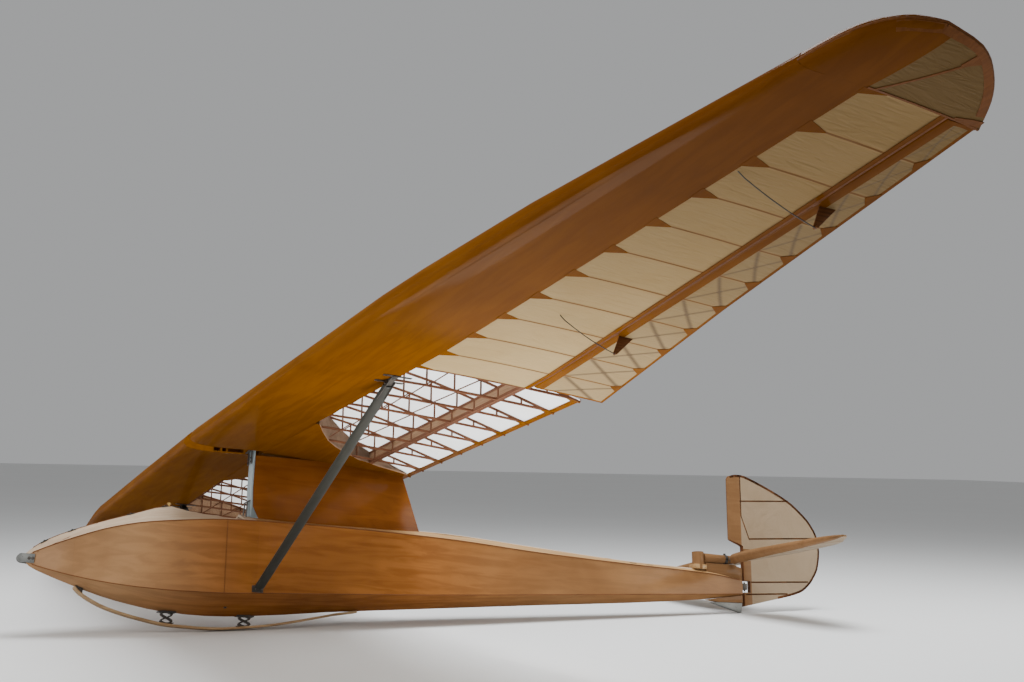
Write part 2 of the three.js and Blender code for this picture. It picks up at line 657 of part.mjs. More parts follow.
// An S-shaped spring strip between the keel and the skid
const SPRING = { thick: 9, wide: 44, reach: 34 };
function spring(x) {
  const [low, high] = [along(SKID_LINE, 'x', x, 'z') + KEEL_SKID.thick - 3, hull(x, 'keel') + 6];
  const tall = high - low;
  const bends = [
    [-SPRING.reach, 0.98], [0.2 * SPRING.reach, 0.93], [SPRING.reach, 0.78], [0.5 * SPRING.reach, 0.6],
    [-0.5 * SPRING.reach, 0.42], [-SPRING.reach, 0.24], [-0.2 * SPRING.reach, 0.08], [SPRING.reach, 0.03],
  ].map(([ahead, share]) => [x + ahead, low + share * tall]);
  const path = rounded(bends, 1);
  const edge = (shift) => path.map(([px, pz], i) => {
    const [a, b] = [path[Math.max(i - 1, 0)], path[Math.min(i + 1, path.length - 1)]];
    const length = Math.hypot(b[0] - a[0], b[1] - a[1]);
    return [px - shift * (b[1] - a[1]) / length, pz + shift * (b[0] - a[0]) / length];
  });
  return slab([...edge(SPRING.thick / 2), ...edge(-SPRING.thick / 2).reverse()], 0, SPRING.wide);
}
add('skid_front_bracket', onHull(box([46, 50, 60], [1084, 0, -955]), skid(SEAM)), DARK_METAL);
for (const [name, x] of [['skid_mount_front', 540], ['skid_mount_rear', 45]]) {
  add(name, onHull(spring(x), skid(SEAM)), DARK_METAL);
}

// Pylon between fuselage and wing
const PYLON = [
  { x: 46, half: 46 }, { x: -100, half: 62 }, { x: -400, half: 68 }, { x: -750, half: 52 }, { x: -985, half: 18 },
];
// Its front leans: height, and how far ahead of the first station the front stands there
const PYLON_FRONT = [{ z: -560, ahead: -10 }, { z: -440, ahead: -4 }, { z: -250, ahead: 4 }, { z: -30, ahead: 0 }];
function pylon() {
  const half = (x) => along(PYLON, 'x', x, 'half');
  const xs = PYLON.map(({ x }) => x);
  const outline = [...xs.map((x) => [x, half(x)]), ...xs.map((x) => [x, -half(x)]).reverse()];
  const swells = [[1.19, 1.35], [1.15, 1.2], [1.08, 1.1], [1, 1]];
  const rings = PYLON_FRONT.map(({ z, ahead }, i) => outline.map(([x, y]) => [
    x < 0 ? x * swells[i][0] : x + ahead, y * swells[i][1], z]));
  const solid = loft(rings, 'z');
  const roof = loft([-130, 130].map((y) => [
    [200, y, 200], [200, y, surface(0, -4, 'lower')],
    ...BLOCK_X.map((x) => [x, y, surface(0, x, 'lower') - SEAM]), [-1400, y, 200],
  ]), 'y');
  return onHull(solid, roof);
}
add('pylon', pylon(), VARNISHED_PLY);
function frontPost() {
  const back = [...PYLON_FRONT.map(({ z, ahead }) => [PYLON[0].x + ahead + SEAM, z]), [PYLON[0].x + SEAM, 6]];
  return slab([...back, ...back.map(([x, z]) => [x + 14, z]).reverse()], 0, 92);
}
add('pylon_front_post', onHull(join([
  frontPost(),
  box([20, 2 * (ROOT_Y - SEAM), 30], [PYLON[0].x + SEAM + 10, 0, 12]),
])), POST_PAINT);

// Struts
const STRUT = { foot: [52, 262, -930], head: [-42, 2165, surface(2165, -42, 'lower') - 8], chord: 64, thick: 26 };
function strut(side) {
  const [foot, head] = [STRUT.foot, STRUT.head].map(([x, y, z]) => new THREE.Vector3(x, side * y, z));
  const span = head.clone().sub(foot);
  const profile = new THREE.Shape(Array.from({ length: 16 }, (_, i) => {
    const angle = i * Math.PI / 8;
    return new THREE.Vector2(STRUT.chord / 2 * Math.cos(angle), STRUT.thick / 2 * Math.sin(angle));
  }));
  const geometry = new THREE.ExtrudeGeometry(profile, { depth: span.length() - 90, bevelEnabled: false });
  geometry.translate(0, 0, 45);
  const forward = new THREE.Vector3(1, 0, 0);
  const axis = span.clone().normalize();
  const across = new THREE.Vector3().crossVectors(axis, forward).normalize();
  forward.crossVectors(across, axis);
  geometry.applyMatrix4(new THREE.Matrix4().makeBasis(forward, across, axis));
  geometry.translate(foot.x, foot.y, foot.z);
  return geometry;
}

function strutEnd(side, end) {
  const [foot, head] = [STRUT.foot, STRUT.head].map(([x, y, z]) => new THREE.Vector3(x, side * y, z));
  const axis = head.clone().sub(foot).normalize();
  const from = end === 'foot' ? foot : head.clone().addScaledVector(axis, -(45 - SEAM));
  const to = end === 'foot' ? foot.clone().addScaledVector(axis, 45 - SEAM) : head.addScaledVector(axis, 30);
  return stick(from.toArray(), to.toArray(), 14, 34, [1, 0, 0]);
}

// A fitting trimmed to end just under the wing
function underWing(geometry, label) {
  const tools = [`leading_edge_${label}`, `wing_frame_${label}`].map((name) => (
    datum.getObjectByName(name).geometry.clone().translate(0, 0, -SEAM)));
  return cut(geometry, ...tools);
}

for (const [label, side] of [['port', 1], ['starboard', -1]]) {
  add(`strut_${label}`, strut(side), STRUT_PAINT);
  add(`strut_foot_${label}`, onHull(strutEnd(side, 'foot')), DARK_METAL);
  add(`strut_head_${label}`, underWing(strutEnd(side, 'head'), label), DARK_METAL);
}

// Tail post, the fairing behind it and the all-moving tailplane
const POST_BASE = [104, 84, 34];
const BASE_AT = [-3400, 0, -512];
add('tailplane_post', onHull(join([
  rod([-3402, 0, -527], [-3402, 0, -400], 44, 18),
  box(POST_BASE, BASE_AT),
])), HONEY_PLY);
const FIN = [[-3460, -610], [STERN_X + 1, -640], [STERN_X + 1, -500], [-3712, -478], [-3460, -482]];
add('stern_fin', onHull(slab(FIN, 0, 40), rod([-3440, 0, -441], [-3800, 0, -438], 38, 14), box(POST_BASE.map((size) => size + 2 * SEAM), BASE_AT)), HONEY_PLY);
add('tailplane_fairing', cut(
  rod([-3447, 0, -441], [-3712, 0, -439], 36, 18, 30),
  rod([TAIL_AXIS.x, -60, TAIL_AXIS.z], [TAIL_AXIS.x, 60, TAIL_AXIS.z], 17.7, 24),
), HONEY_PLY);

// Tailplane half: distance from the centreline, nose and tail x, and thickness there
const TAILPLANE = [
  { y: 60, nose: -3648, tail: -3800, thick: 78 }, { y: 200, nose: -3618, tail: -3965, thick: 75 },
  { y: 330, nose: -3614, tail: -4040, thick: 70 }, { y: 740, nose: -3648, tail: -4048, thick: 56 },
  { y: 920, nose: -3668, tail: -4010, thick: 48 }, { y: 1060, nose: -3692, tail: -3922, thick: 38 },
  { y: 1160, nose: -3730, tail: -3862, thick: 24 }, { y: 1215, nose: -3778, tail: -3812, thick: 10 },
];
function tailplaneHalf(side) {
  const stations = [60, 120, 200, 330, 530, 740, 920, 1000, 1060, 1120, 1160, 1195, 1215];
  const rings = stations.map((y) => {
    const [nose, tail, thick] = ['nose', 'tail', 'thick'].map((column) => smoothly(TAILPLANE, 'y', y, column));
    const chord = nose - tail;
    const half = thick / 2;
    const rise = 0.55 * (TAILPLANE[0].thick / 2 - half);
    const outline = [
      [0, 0], [0.1 * half, 0.5 * half], [0.5 * half, 0.87 * half], [1.1 * half, half], [0.5 * chord, 0.72 * half],
      [chord, 3], [chord, -3], [0.5 * chord, -0.72 * half], [1.1 * half, -half], [0.5 * half, -0.87 * half], [0.1 * half, -0.5 * half],
    ];
    return outline.map(([back, up]) => [nose - back, side * y, TAIL_AXIS.z + rise + up]);
  });
  return loft(rings, 'y');
}

function trimmed(geometry) {
  geometry.translate(-TAIL_AXIS.x, 0, -TAIL_AXIS.z);
  geometry.rotateY(TAIL_TRIM);
  geometry.translate(TAIL_AXIS.x, 0, TAIL_AXIS.z);
  return geometry;
}
add('tailplane_port', trimmed(tailplaneHalf(1)), FABRIC);
add('tailplane_starboard', trimmed(tailplaneHalf(-1)), FABRIC);
add('tailplane_tube', rod([TAIL_AXIS.x, -60 + SEAM, TAIL_AXIS.z], [TAIL_AXIS.x, 60 - SEAM, TAIL_AXIS.z], 17, 12), BRIGHT_METAL);

// Rudder outline in the x-z plane, and its half thickness from nose to tail
const RUDDER = [
  ...rounded([
    [-3680, 176], [-3700, 205], [-3749, 219], [-3829, 219], [-4000, 162], [-4172, 94], [-4286, 39], [-4437, -76],
    [-4516, -183], [-4541, -317], [-4512, -463], [-4437, -570], [-4354, -638], [-4245, -676],
  ]),
  [-3802, -782], [-3802, -330], [-3784, -319], [-3680, -285],
];
const RUDDER_PLAN = [[-3678, 3], [-3692, 11], [-3740, 19], [-3815, 21], [-4100, 17], [-4545, 4]];
function rudder() {
  const plate = slab(RUDDER, 0, 60);
  const outline = [...RUDDER_PLAN, ...RUDDER_PLAN.map(([x, y]) => [x, -y]).reverse()];
  return common(plate, loft([-800, 240].map((z) => outline.map(([x, y]) => [x, y, z])), 'z'));
}
// A notch in the rudder's nose leaves room for the lower hinge
const HINGE_Z = -634;
add('rudder', cut(rudder(), box([72, 80, 88], [-3822, 0, HINGE_Z])), FABRIC);
add('rudder_hinge', join([
  box([STERN_X - SEAM - RUDDER_AXIS_X + 14, 34, 46], [(STERN_X - SEAM + RUDDER_AXIS_X - 14) / 2, 0, HINGE_Z]),
  rod([RUDDER_AXIS_X, 0, HINGE_Z - 34], [RUDDER_AXIS_X, 0, HINGE_Z + 34], 7, 10),
]), DARK_METAL);

// Parked attitude: the glider stands on the main skid, the tail skid and the starboard tip
const CONTACT = {
  main_skid: new THREE.Vector3(271, -38, -1156),
  tail_skid_plate: new THREE.Vector3(-3772, -13, -830),
  wing_tip_starboard: new THREE.Vector3(-580, -5950, 60),
};

// The floor's upward direction, seen from the glider, for three touching points
function floorNormal({ main_skid: skidPoint, tail_skid_plate: tailPoint, wing_tip_starboard: tipPoint }) {
  const normal = new THREE.Vector3().crossVectors(
    tipPoint.clone().sub(skidPoint), tailPoint.clone().sub(skidPoint)).normalize();
  return normal.z < 0 ? normal.negate() : normal;
}

// Each touching point settles on the lowest corner of its piece
let upward = floorNormal(CONTACT);
for (let pass = 0; pass < 6; pass += 1) {
  for (const name of Object.keys(CONTACT)) {
    const { position } = datum.getObjectByName(name).geometry.attributes;
    const corners = Array.from({ length: position.count }, (_, i) => new THREE.Vector3().fromBufferAttribute(position, i));
    CONTACT[name] = corners.reduce((low, corner) => (corner.dot(upward) < low.dot(upward) ? corner : low));
  }
  upward = floorNormal(CONTACT);
}
const ahead = new THREE.Vector3(1, 0, 0);
ahead.addScaledVector(upward, -ahead.dot(upward)).normalize();
const portward = new THREE.Vector3().crossVectors(upward, ahead);
datum.setRotationFromMatrix(new THREE.Matrix4().makeBasis(ahead, portward, upward).transpose());

const glider = new THREE.Group();
glider.add(datum);
glider.updateMatrixWorld(true);
const bounds = new THREE.Box3().setFromObject(glider, true);
const centre = bounds.getCenter(new THREE.Vector3());
datum.position.set(-centre.x, -centre.y, -bounds.min.z);

export default glider;
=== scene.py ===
# %% [markdown]
# A wooden sailplane, dressed for its portrait
#
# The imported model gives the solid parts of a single-seat glider that stands on its skids with one
# wing tip down. This lesson keeps those solids where they are and gives them their skins: varnished
# birch ply, doped cloth over ribs, ash and spruce sticks, painted tubes and small steel fittings.

# %% Tools
import json
import math

import bmesh
import bpy
from mathutils import Matrix, Vector


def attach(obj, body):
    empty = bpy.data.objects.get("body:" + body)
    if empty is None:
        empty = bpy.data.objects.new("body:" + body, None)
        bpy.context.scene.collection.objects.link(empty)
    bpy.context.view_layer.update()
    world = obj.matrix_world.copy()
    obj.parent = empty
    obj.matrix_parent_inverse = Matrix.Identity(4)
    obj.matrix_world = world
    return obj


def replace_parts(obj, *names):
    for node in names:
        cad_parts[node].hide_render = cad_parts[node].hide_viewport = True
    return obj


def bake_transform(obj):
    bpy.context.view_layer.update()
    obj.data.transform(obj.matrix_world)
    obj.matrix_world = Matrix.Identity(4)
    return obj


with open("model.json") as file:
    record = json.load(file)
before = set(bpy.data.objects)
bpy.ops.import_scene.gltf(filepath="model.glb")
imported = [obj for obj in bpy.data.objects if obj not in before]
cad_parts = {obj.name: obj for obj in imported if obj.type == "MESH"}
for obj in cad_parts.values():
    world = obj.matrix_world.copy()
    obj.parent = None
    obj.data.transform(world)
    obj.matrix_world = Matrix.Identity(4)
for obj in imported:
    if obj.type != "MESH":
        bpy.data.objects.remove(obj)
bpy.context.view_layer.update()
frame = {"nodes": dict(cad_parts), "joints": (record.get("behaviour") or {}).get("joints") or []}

# %% [markdown]
# The glider leans, so nothing on it is level. It is far easier to build in the glider's own frame,
# with x along the fuselage, y out along the port wing and z up through the pylon. Two hinge lines
# that cross at a right angle, the tailplane's and the rudder's, give that frame exactly.

# %% The glider's own frame
hinges = {joint["name"]: joint for joint in frame["joints"]}
up = Vector(hinges["rudder_hinge_line"]["axis"]).normalized()
port = Vector(hinges["elevator_hinge"]["axis"]).normalized()
ahead = port.cross(up).normalized()
TAIL_PIVOT = Vector((-3.680, 0, -0.440))
turn = Matrix((ahead, port, up)).transposed()
pivot = Vector(hinges["elevator_hinge"].get("pos_m") or hinges["elevator_hinge"]["pos"])
GLIDER = Matrix.Translation(pivot - turn @ TAIL_PIVOT) @ turn.to_4x4()
print("zero of the glider's frame", [round(c, 4) for c in GLIDER.translation])

# %% [markdown]
# The camera stands ahead of the port wing and a little below it, about a metre above the floor. Its
# place was found from the straight spars and the even ribs.

# %% Camera
LOOK = Vector((-0.429, -0.857, 0.286)).normalized()
across = Vector((-0.893, 0.450, 0.008))
across = (across - LOOK * across.dot(LOOK)).normalized()
over = across.cross(LOOK)
aim = Matrix((across, over, -LOOK)).transposed().to_4x4()
camera = bpy.data.objects.new("camera", bpy.data.cameras.new("camera"))
camera.matrix_world = GLIDER @ Matrix.Translation((2.70515, 9.06782, -2.00118)) @ aim
camera.data.sensor_width = 36
camera.data.lens = 1450 / 1024 * 36
camera.data.clip_end = 200
bpy.context.scene.collection.objects.link(camera)
bpy.context.scene.camera = camera
print("camera height", round(camera.matrix_world.translation.z, 3), "m")

# %% [markdown]
# The studio is a wide pale floor under a pale dome of light. The soft panels overhead and at the
# sides make the cloth over the open bays glow and put one long shine on the wing's nose.

# %% Studio
def soft_light(name, place, target, size, watts, colour=(1, 1, 1)):
    """One square panel light that points at a target, both in level metres"""
    light = bpy.data.objects.new(name, bpy.data.lights.new(name, "AREA"))
    light.data.shape, light.data.size = "SQUARE", size
    light.data.energy, light.data.color = watts, colour
    light.location = place
    light.rotation_mode = "QUATERNION"
    light.rotation_quaternion = (Vector(target) - Vector(place)).to_track_quat("-Z", "Y")
    bpy.context.scene.collection.objects.link(light)
    return light


soft_light("roof_window", (-1.5, 0.5, 8), (-0.3, 0.8, 1), 5, 1250, (0.94, 0.97, 1))
soft_light("side_window", (7, 4.5, 3.0), (0, 0, 0.8), 4, 300, (1, 0.96, 0.9))
soft_light("low_window", (6, -3.5, 1.5), (0, 0, 1), 2.2, 90, (1, 0.93, 0.9))
soft_light("aft_window", (-8, 5, 2.6), (-3, 0, 0.6), 3, 260, (1, 0.95, 0.86))
soft_light("floor_glow", (0.6, 2.7, 0.05), (-0.3, 2.6, 2), 2.2, 60, (1, 0.95, 0.88))
world = bpy.data.worlds.new("studio")
bpy.context.scene.world = world
world.use_nodes = True
world.node_tree.nodes["Background"].inputs["Color"].default_value = (0.86, 0.87, 0.88, 1)
world.node_tree.nodes["Background"].inputs["Strength"].default_value = 0.46

# %% [markdown]
# Shader sums read best as plain expressions. A small class wraps a socket and answers to the usual
# signs, so that 1 - mask * 0.4 adds its own Math nodes. Every other node comes from one method.

# %% Expressions for finishes
class Wire:
    """A socket's value, which can be added, multiplied and subtracted"""

    def __init__(self, finish, socket):
        self.finish, self.socket = finish, socket

    def __abs__(self):
        return self.finish.add("Math", {"operation": "ABSOLUTE"}, {0: self})


def sign(operation, reflected=False):
    """The method behind a sign; its reflected form has the wire on the right"""
    def answer(wire, other):
        first, second = (other, wire) if reflected else (wire, other)
        return wire.finish.add("Math", {"operation": operation}, {0: first, 1: second})

    return answer


for word, operation in (("add", "ADD"), ("sub", "SUBTRACT"), ("mul", "MULTIPLY")):
    setattr(Wire, f"__{word}__", sign(operation))
    setattr(Wire, f"__r{word}__", sign(operation, reflected=True))


class Finish:
    """One material while it is being made"""

    def __init__(self, name):
        self.material = bpy.data.materials.new(name)
        self.material.use_nodes = True
        self.tree = self.material.node_tree
        self.tree.nodes.clear()

    def add(self, kind, settings=None, values=None, out=0):
        """Adds a node: its settings first, then the values or wires of its sockets"""
        made = self.tree.nodes.new("ShaderNode" + kind)
        for key, value in (settings or {}).items():
            setattr(made, key, value)
        for key, value in (values or {}).items():
            if isinstance(value, Wire):
                self.tree.links.new(value.socket, made.inputs[key])
            else:
                made.inputs[key].default_value = value
        return Wire(self, made.outputs[out]) if made.outputs else made

    def colours(self, share, first, second, kind="MIX"):
        """Mixes two colours by a share from 0 to 1"""
        first, second = [(*c, 1) if isinstance(c, tuple) else c for c in (first, second)]
        settings = {"data_type": "RGBA", "blend_type": kind, "clamp_factor": True}
        return self.add("Mix", settings, {0: share, 6: first, 7: second}, out=2)

    def fade(self, value, start, end, low=0.0, high=1.0):
        """Goes smoothly from low at start to high at end"""
        return self.add("MapRange", {"interpolation_type": "SMOOTHSTEP"},
                        {0: value, 1: start, 2: end, 3: low, 4: high})

    def spread(self, vector, scale, detail=3.0, roughness=0.5, distortion=0.0):
        """Soft natural variation"""
        return self.add("TexNoise", None, {"Vector": vector, "Scale": scale, "Detail": detail,
                                           "Roughness": roughness, "Distortion": distortion})

    def place(self, stretch=(1, 1, 1)):
        """Coordinates in the glider's own frame, in metres, then stretched"""
        back = GLIDER.inverted()
        level = self.add("Mapping", None, {
            "Vector": self.add("TexCoord", out=3), "Location": back.translation, "Rotation": back.to_euler()})
        if stretch == (1, 1, 1):
            return level
        return self.add("Mapping", None, {"Vector": level, "Scale": stretch})

    def outboard(self):
        """From 0 at the open bays to 1 at the tips: a share of painted shade, as less light reaches the outer
        wing
        """
        return self.fade(abs(self.add("SeparateXYZ", None, {0: self.place()}, out=1)), 1.8, 5.9)

    def finish(self, colour, rough, bump=None, depth=0.001, **fixed):
        """Joins colour, roughness and relief to the shader; fixed numbers are set on its own sockets"""
        values = {"Base Color": (*colour, 1) if isinstance(colour, tuple) else colour, "Roughness": rough}
        if bump is not None:
            values["Normal"] = self.add("Bump", None, {"Height": bump, "Distance": depth, "Strength": 1.0})
        values.update({key.replace("_", " "): value for key, value in fixed.items()})
        shader = self.add("BsdfPrincipled", None, values)
        self.add("OutputMaterial", None, {"Surface": shader})
        print("finish", self.material.name, len(self.tree.nodes), "nodes")
        return self.material


def tinted(colour, share):
    """A colour times one share, or times a share for each of its channels"""
    shares = share if isinstance(share, tuple) else (share,) * 3
    return tuple(min(1, c * s) for c, s in zip(colour, shares))


# %% [markdown]
# Birch ply under old varnish: long soft figure along the grain, fine pores, broad stains where the
# varnish has aged, and a thin clear gloss. The same recipe with other tones serves the orange wing
# nose, the honey coloured fuselage and the paler deck.

# %% Plywood finishes
def plywood(name, light, dark, rough, grain, gloss=0.25, stain=0.35, relief=0.0005, figured=0.5,
            lit_stretches=(), painted_tip_shade=0.0):
    """Varnished ply; grain is 'x' along the fuselage or 'y' along the span. Each entry of the lit stretches
    gives two places along the fuselage, between which the varnish goes over to a paler tone of painted light;
    the tip share is the share of painted shade that darkens the wing toward its tip"""
    f = Finish(name)
    stretch = {"x": (0.9, 9, 9), "y": (9, 0.9, 9)}[grain]
    figure = f.spread(f.place(stretch), 2.2, 4, 0.55, 0.8)
    pores = f.spread(f.place(tuple(s * 9 for s in stretch)), 5, 2, 0.6)
    age = f.spread(f.place(), 1.3, 3, 0.6, 0.4)
    bands = f.fade(figure, 0.36, 0.66)
    tone = f.colours(bands * figured, light, dark)
    if lit_stretches:
        x = f.add("SeparateXYZ", None, {0: f.place()}, out=0)
        # Painted light: the varnish goes paler between two places along the fuselage, where window light and
        # sun fall on it.
        for start, end, lit_tone in lit_stretches:
            low, high = float(start > end), float(start < end)
            share = f.fade(x + age * 0.5 - 0.25, min(start, end), max(start, end), low, high)
            tone = f.colours(share, tone, f.colours(bands * figured, lit_tone, tinted(lit_tone, 0.8)))
    tone = f.colours(f.fade(age, 0.42, 0.72) * stain, tone, tinted(dark, 0.6))
    if painted_tip_shade:
        # Painted shade: the wing ply darkens toward its tips, where less light reaches it.
        tone = f.colours(f.outboard() * painted_tip_shade, tone, tinted(dark, (0.45, 0.3, 0.1)))
    tone = f.colours(f.fade(pores, 0.58, 0.75) * 0.14, tone, tinted(dark, 0.35))
    shine = rough + age * 0.14 + bands * 0.05 - 0.07
    return f.finish(tone, shine, pores * 0.5 + figure * 0.9 + age * 2, relief, Coat_Weight=gloss,
                    Coat_Roughness=0.14, Specular_IOR_Level=0.0)


WING_PLY = plywood("varnished_wing_ply", (0.185, 0.066, 0.005), (0.125, 0.040, 0.002), 0.36, "y", 0.09, 0.3,
                   painted_tip_shade=0.5)
TAIL_PLY = plywood("tail_ply", (0.215, 0.112, 0.050), (0.15, 0.074, 0.031), 0.45, "x", 0.1, 0.35)
# The paler varnish at the nose and aft of the hull is painted light from a window and the sun.
NOSE_PAINTED_LIGHT = (0.1, 0.95, (0.36, 0.205, 0.10))
AFT_PAINTED_LIGHT = (-0.9, -2.3, (0.27, 0.135, 0.055))
HULL_PLY = plywood("honey_ply", (0.26, 0.10, 0.024), (0.165, 0.055, 0.012), 0.42, "x", 0.13, 0.4, 0.0004,
                   0.75, lit_stretches=(NOSE_PAINTED_LIGHT, AFT_PAINTED_LIGHT))
PYLON_PLY = plywood("pylon_ply", (0.20, 0.065, 0.011), (0.115, 0.032, 0.005), 0.40, "x", 0.13, 0.45)
BARE_PLY = plywood("bare_ply", (0.33, 0.215, 0.145), (0.23, 0.14, 0.09), 0.6, "x", 0.0, 0.4)
DECK_PLY = plywood("pale_deck_ply", (0.50, 0.385, 0.275), (0.40, 0.275, 0.18), 0.5, "x", 0.12, 0.3)

# %% [markdown]
# Sticks are thinner stock: straight spruce or ash with tight parallel lines, a little lighter on their
# convex edges. The lines run with the stick's longest direction.

# %% Timber finishes
def timber(name, light, dark, grain, rough=0.55):
    """Straight-grained stick stock"""
    f = Finish(name)
    stretch = {"x": (1.2, 30, 30), "y": (30, 1.2, 30)}[grain]
    lines = f.spread(f.place(stretch), 4, 3, 0.6)
    patches = f.spread(f.place(), 3, 3)
    edge = f.fade(f.add("NewGeometry", out=7), 0.52, 0.6)
    tone = f.colours(f.fade(lines, 0.35, 0.65), light, dark)
    tone = f.colours(f.fade(patches, 0.45, 0.75) * 0.4, tone, tinted(dark, 0.6))
    # Lighter on convex edges, where the mesh's pointiness is high.
    tone = f.colours(edge * 0.3, tone, tinted(light, 1.7))
    return f.finish(tone, rough + patches * 0.15, lines, 0.0006, Specular_IOR_Level=0.08)


RIB_WOOD = timber("rib_spruce", (0.15, 0.062, 0.032), (0.09, 0.035, 0.018), "x")
SPAR_WOOD = timber("spar_spruce", (0.34, 0.21, 0.125), (0.25, 0.145, 0.08), "y")
SKID_WOOD = timber("skid_ash", (0.36, 0.25, 0.14), (0.23, 0.14, 0.07), "x", 0.6)
EDGE_WOOD = timber("edge_strip", (0.13, 0.048, 0.016), (0.07, 0.026, 0.01), "x", 0.5)
BOW_WOOD = timber("bent_bow", (0.12, 0.042, 0.010), (0.075, 0.025, 0.006), "y", 0.45)

# %% [markdown]
# Doped linen is cream and slightly yellow, dull but not powdery, and each rib shows through it as a brown
# line
# under its tape: the tape's own colour with a painted shadow of the rib, and a wider band of painted shade
# beside it.
# The cloth's own UV counts ribs across and runs from front to back, so the lines follow the ribs. Old dope
# also wrinkles near a spar, which is relief alone.

# %% Doped cloth
WING_RIB, TAIL_RIB = 0.3048, 0.2
CREAM, BRACE_SHADOW = (0.47, 0.345, 0.175), (0.125, 0.085, 0.048)
TAPE_AND_RIB_SHADOW, RIB_SHADE_BAND = (0.13, 0.058, 0.018), (0.30, 0.18, 0.075)


def cloth(name, ribs=True, brace_shadows=0.0, tone=CREAM, rib_pitch=WING_RIB):
    """Cloth with ribs at whole numbers of U, and painted shadows of crossed bracing showing through from
    behind
    """
    f = Finish(name)
    uv = f.add("TexCoord", out=2)
    u, v = (f.add("SeparateXYZ", None, {0: uv}, out=axis) for axis in (0, 1))
    stains = f.spread(f.place(), 2.4, 4, 0.6)
    weave = f.spread(f.place(), 420, 1)
    creases = f.spread(f.place((3.2, 16, 3)), 1.6, 3, 0.55, 1.4)
    colour = f.colours(f.fade(stains, 0.35, 0.75) * 0.45, tone, tinted(tone, (0.82, 0.76, 0.66)))
    colour = f.colours(f.fade(weave, 0.3, 0.7) * 0.12, colour, tinted(tone, 0.6))
    # Painted shade: the cloth darkens toward the tips, where less light reaches it.
    colour = f.colours(f.outboard() * 0.88, colour, tinted(tone, (0.40, 0.33, 0.24)))
    if brace_shadows:
        # Painted shadows of the crossed bracing, seen through the cloth from behind.
        beat = f.add("Math", {"operation": "FRACT"}, {0: u})
        rising, falling = abs(beat - v), abs(beat + v - 1)
        brace_shadow = f.fade(falling, 0.0, 0.10, 1, 0) * 0.75 + f.fade(rising, 0.0, 0.075, 1, 0) * 0.7
        colour = f.colours(brace_shadow * brace_shadows, colour, BRACE_SHADOW)
    height = creases * 2.6 + weave * 0.03
    if ribs:
        gap = f.add("Math", {"operation": "PINGPONG"}, {0: u, 1: 0.5}) * rib_pitch
        line = f.fade(gap, 0.0045, 0.0068, 1, 0)
        # Painted shade in a wide soft band beside each rib, then a dark line that is the rib's tape and a
        # painted shadow of the rib.
        colour = f.colours(f.fade(gap, 0.004, 0.024, 0.4, 0), colour, RIB_SHADE_BAND)
        colour = f.colours(line * 0.95, colour, TAPE_AND_RIB_SHADOW)
        height = height + f.fade(gap, 0.006, 0.012, 0.35, 0)
    return f.finish(colour, 0.62 + stains * 0.15, height, 0.0030, Specular_IOR_Level=0.06)


WING_CLOTH = cloth("wing_cloth")
AILERON_CLOTH = cloth("aileron_cloth", brace_shadows=1.25, tone=(0.36, 0.265, 0.14))
# The tip cloth's darker tone is painted shade for the dim outer wing.
TIP_CLOTH = cloth("tip_cloth", ribs=False, tone=(0.26, 0.18, 0.085))
TAIL_CLOTH = cloth("tail_cloth", tone=(0.34, 0.265, 0.19), rib_pitch=TAIL_RIB)
RUDDER_CLOTH = cloth("rudder_cloth", ribs=False, tone=(0.30, 0.225, 0.15))

# %% [markdown]
# Metal and paint are small here but near the eye in places. Bare galvanised plate is mottled and
# pale, steel straps are dark and rubbed, and the struts and the front post are brush painted.

# %% Paint and metal finishes
def painted(name, colour, rough, streak="z", chip=(0.05, 0.04, 0.035), metal=0.0, wear=0.2):
    """Paint or metal with brush streaks, dirt and small chips"""
    f = Finish(name)
    stretch = {"x": (1, 14, 14), "y": (14, 1, 14), "z": (14, 14, 1)}[streak]
    streaks = f.spread(f.place(stretch), 3, 3)
    dirt = f.spread(f.place(), 7, 4, 0.65)
    chips = f.spread(f.place(), 60, 2, 0.6)
    tone = f.colours(f.fade(streaks, 0.35, 0.7) * 0.35, colour, tinted(colour, 0.68))
    tone = f.colours(f.fade(dirt, 0.5, 0.75) * 0.4, tone, tinted(colour, 0.5))
    tone = f.colours(f.fade(chips, 0.66, 0.72) * wear, tone, chip)
    return f.finish(tone, rough + dirt * 0.2 - 0.06, streaks + chips * 0.5, 0.0004, Metallic=metal,
                    Specular_IOR_Level=0.25)


STRUT_PAINT = painted("strut_paint", (0.024, 0.024, 0.019), 0.45, "y")
POST_PAINT = painted("post_paint", (0.30, 0.37, 0.40), 0.45, "z", wear=0.6)
DARK_STEEL = painted("dark_steel", (0.065, 0.058, 0.052), 0.45, "x", (0.22, 0.12, 0.07), 0.7, 0.5)
PALE_STEEL = painted("galvanised_plate", (0.15, 0.155, 0.15), 0.45, "x", (0.05, 0.045, 0.04), 0.6, 0.8)
BRASS = painted("brass", (0.55, 0.36, 0.11), 0.35, "x", (0.2, 0.12, 0.04), 0.9, 0.4)
PANEL_PAINT = painted("panel_black", (0.02, 0.02, 0.021), 0.5, "y", (0.12, 0.1, 0.08), 0.0, 0.5)
DIAL_FACE = painted("dial_face", (0.012, 0.012, 0.013), 0.3, "y", (0.03, 0.03, 0.03))
DIAL_MARK = painted("dial_mark", (0.75, 0.73, 0.66), 0.5, "y", (0.5, 0.48, 0.4))

# %% [markdown]
# The floor is a plain painted slab, so all it needs is a trace of unevenness.

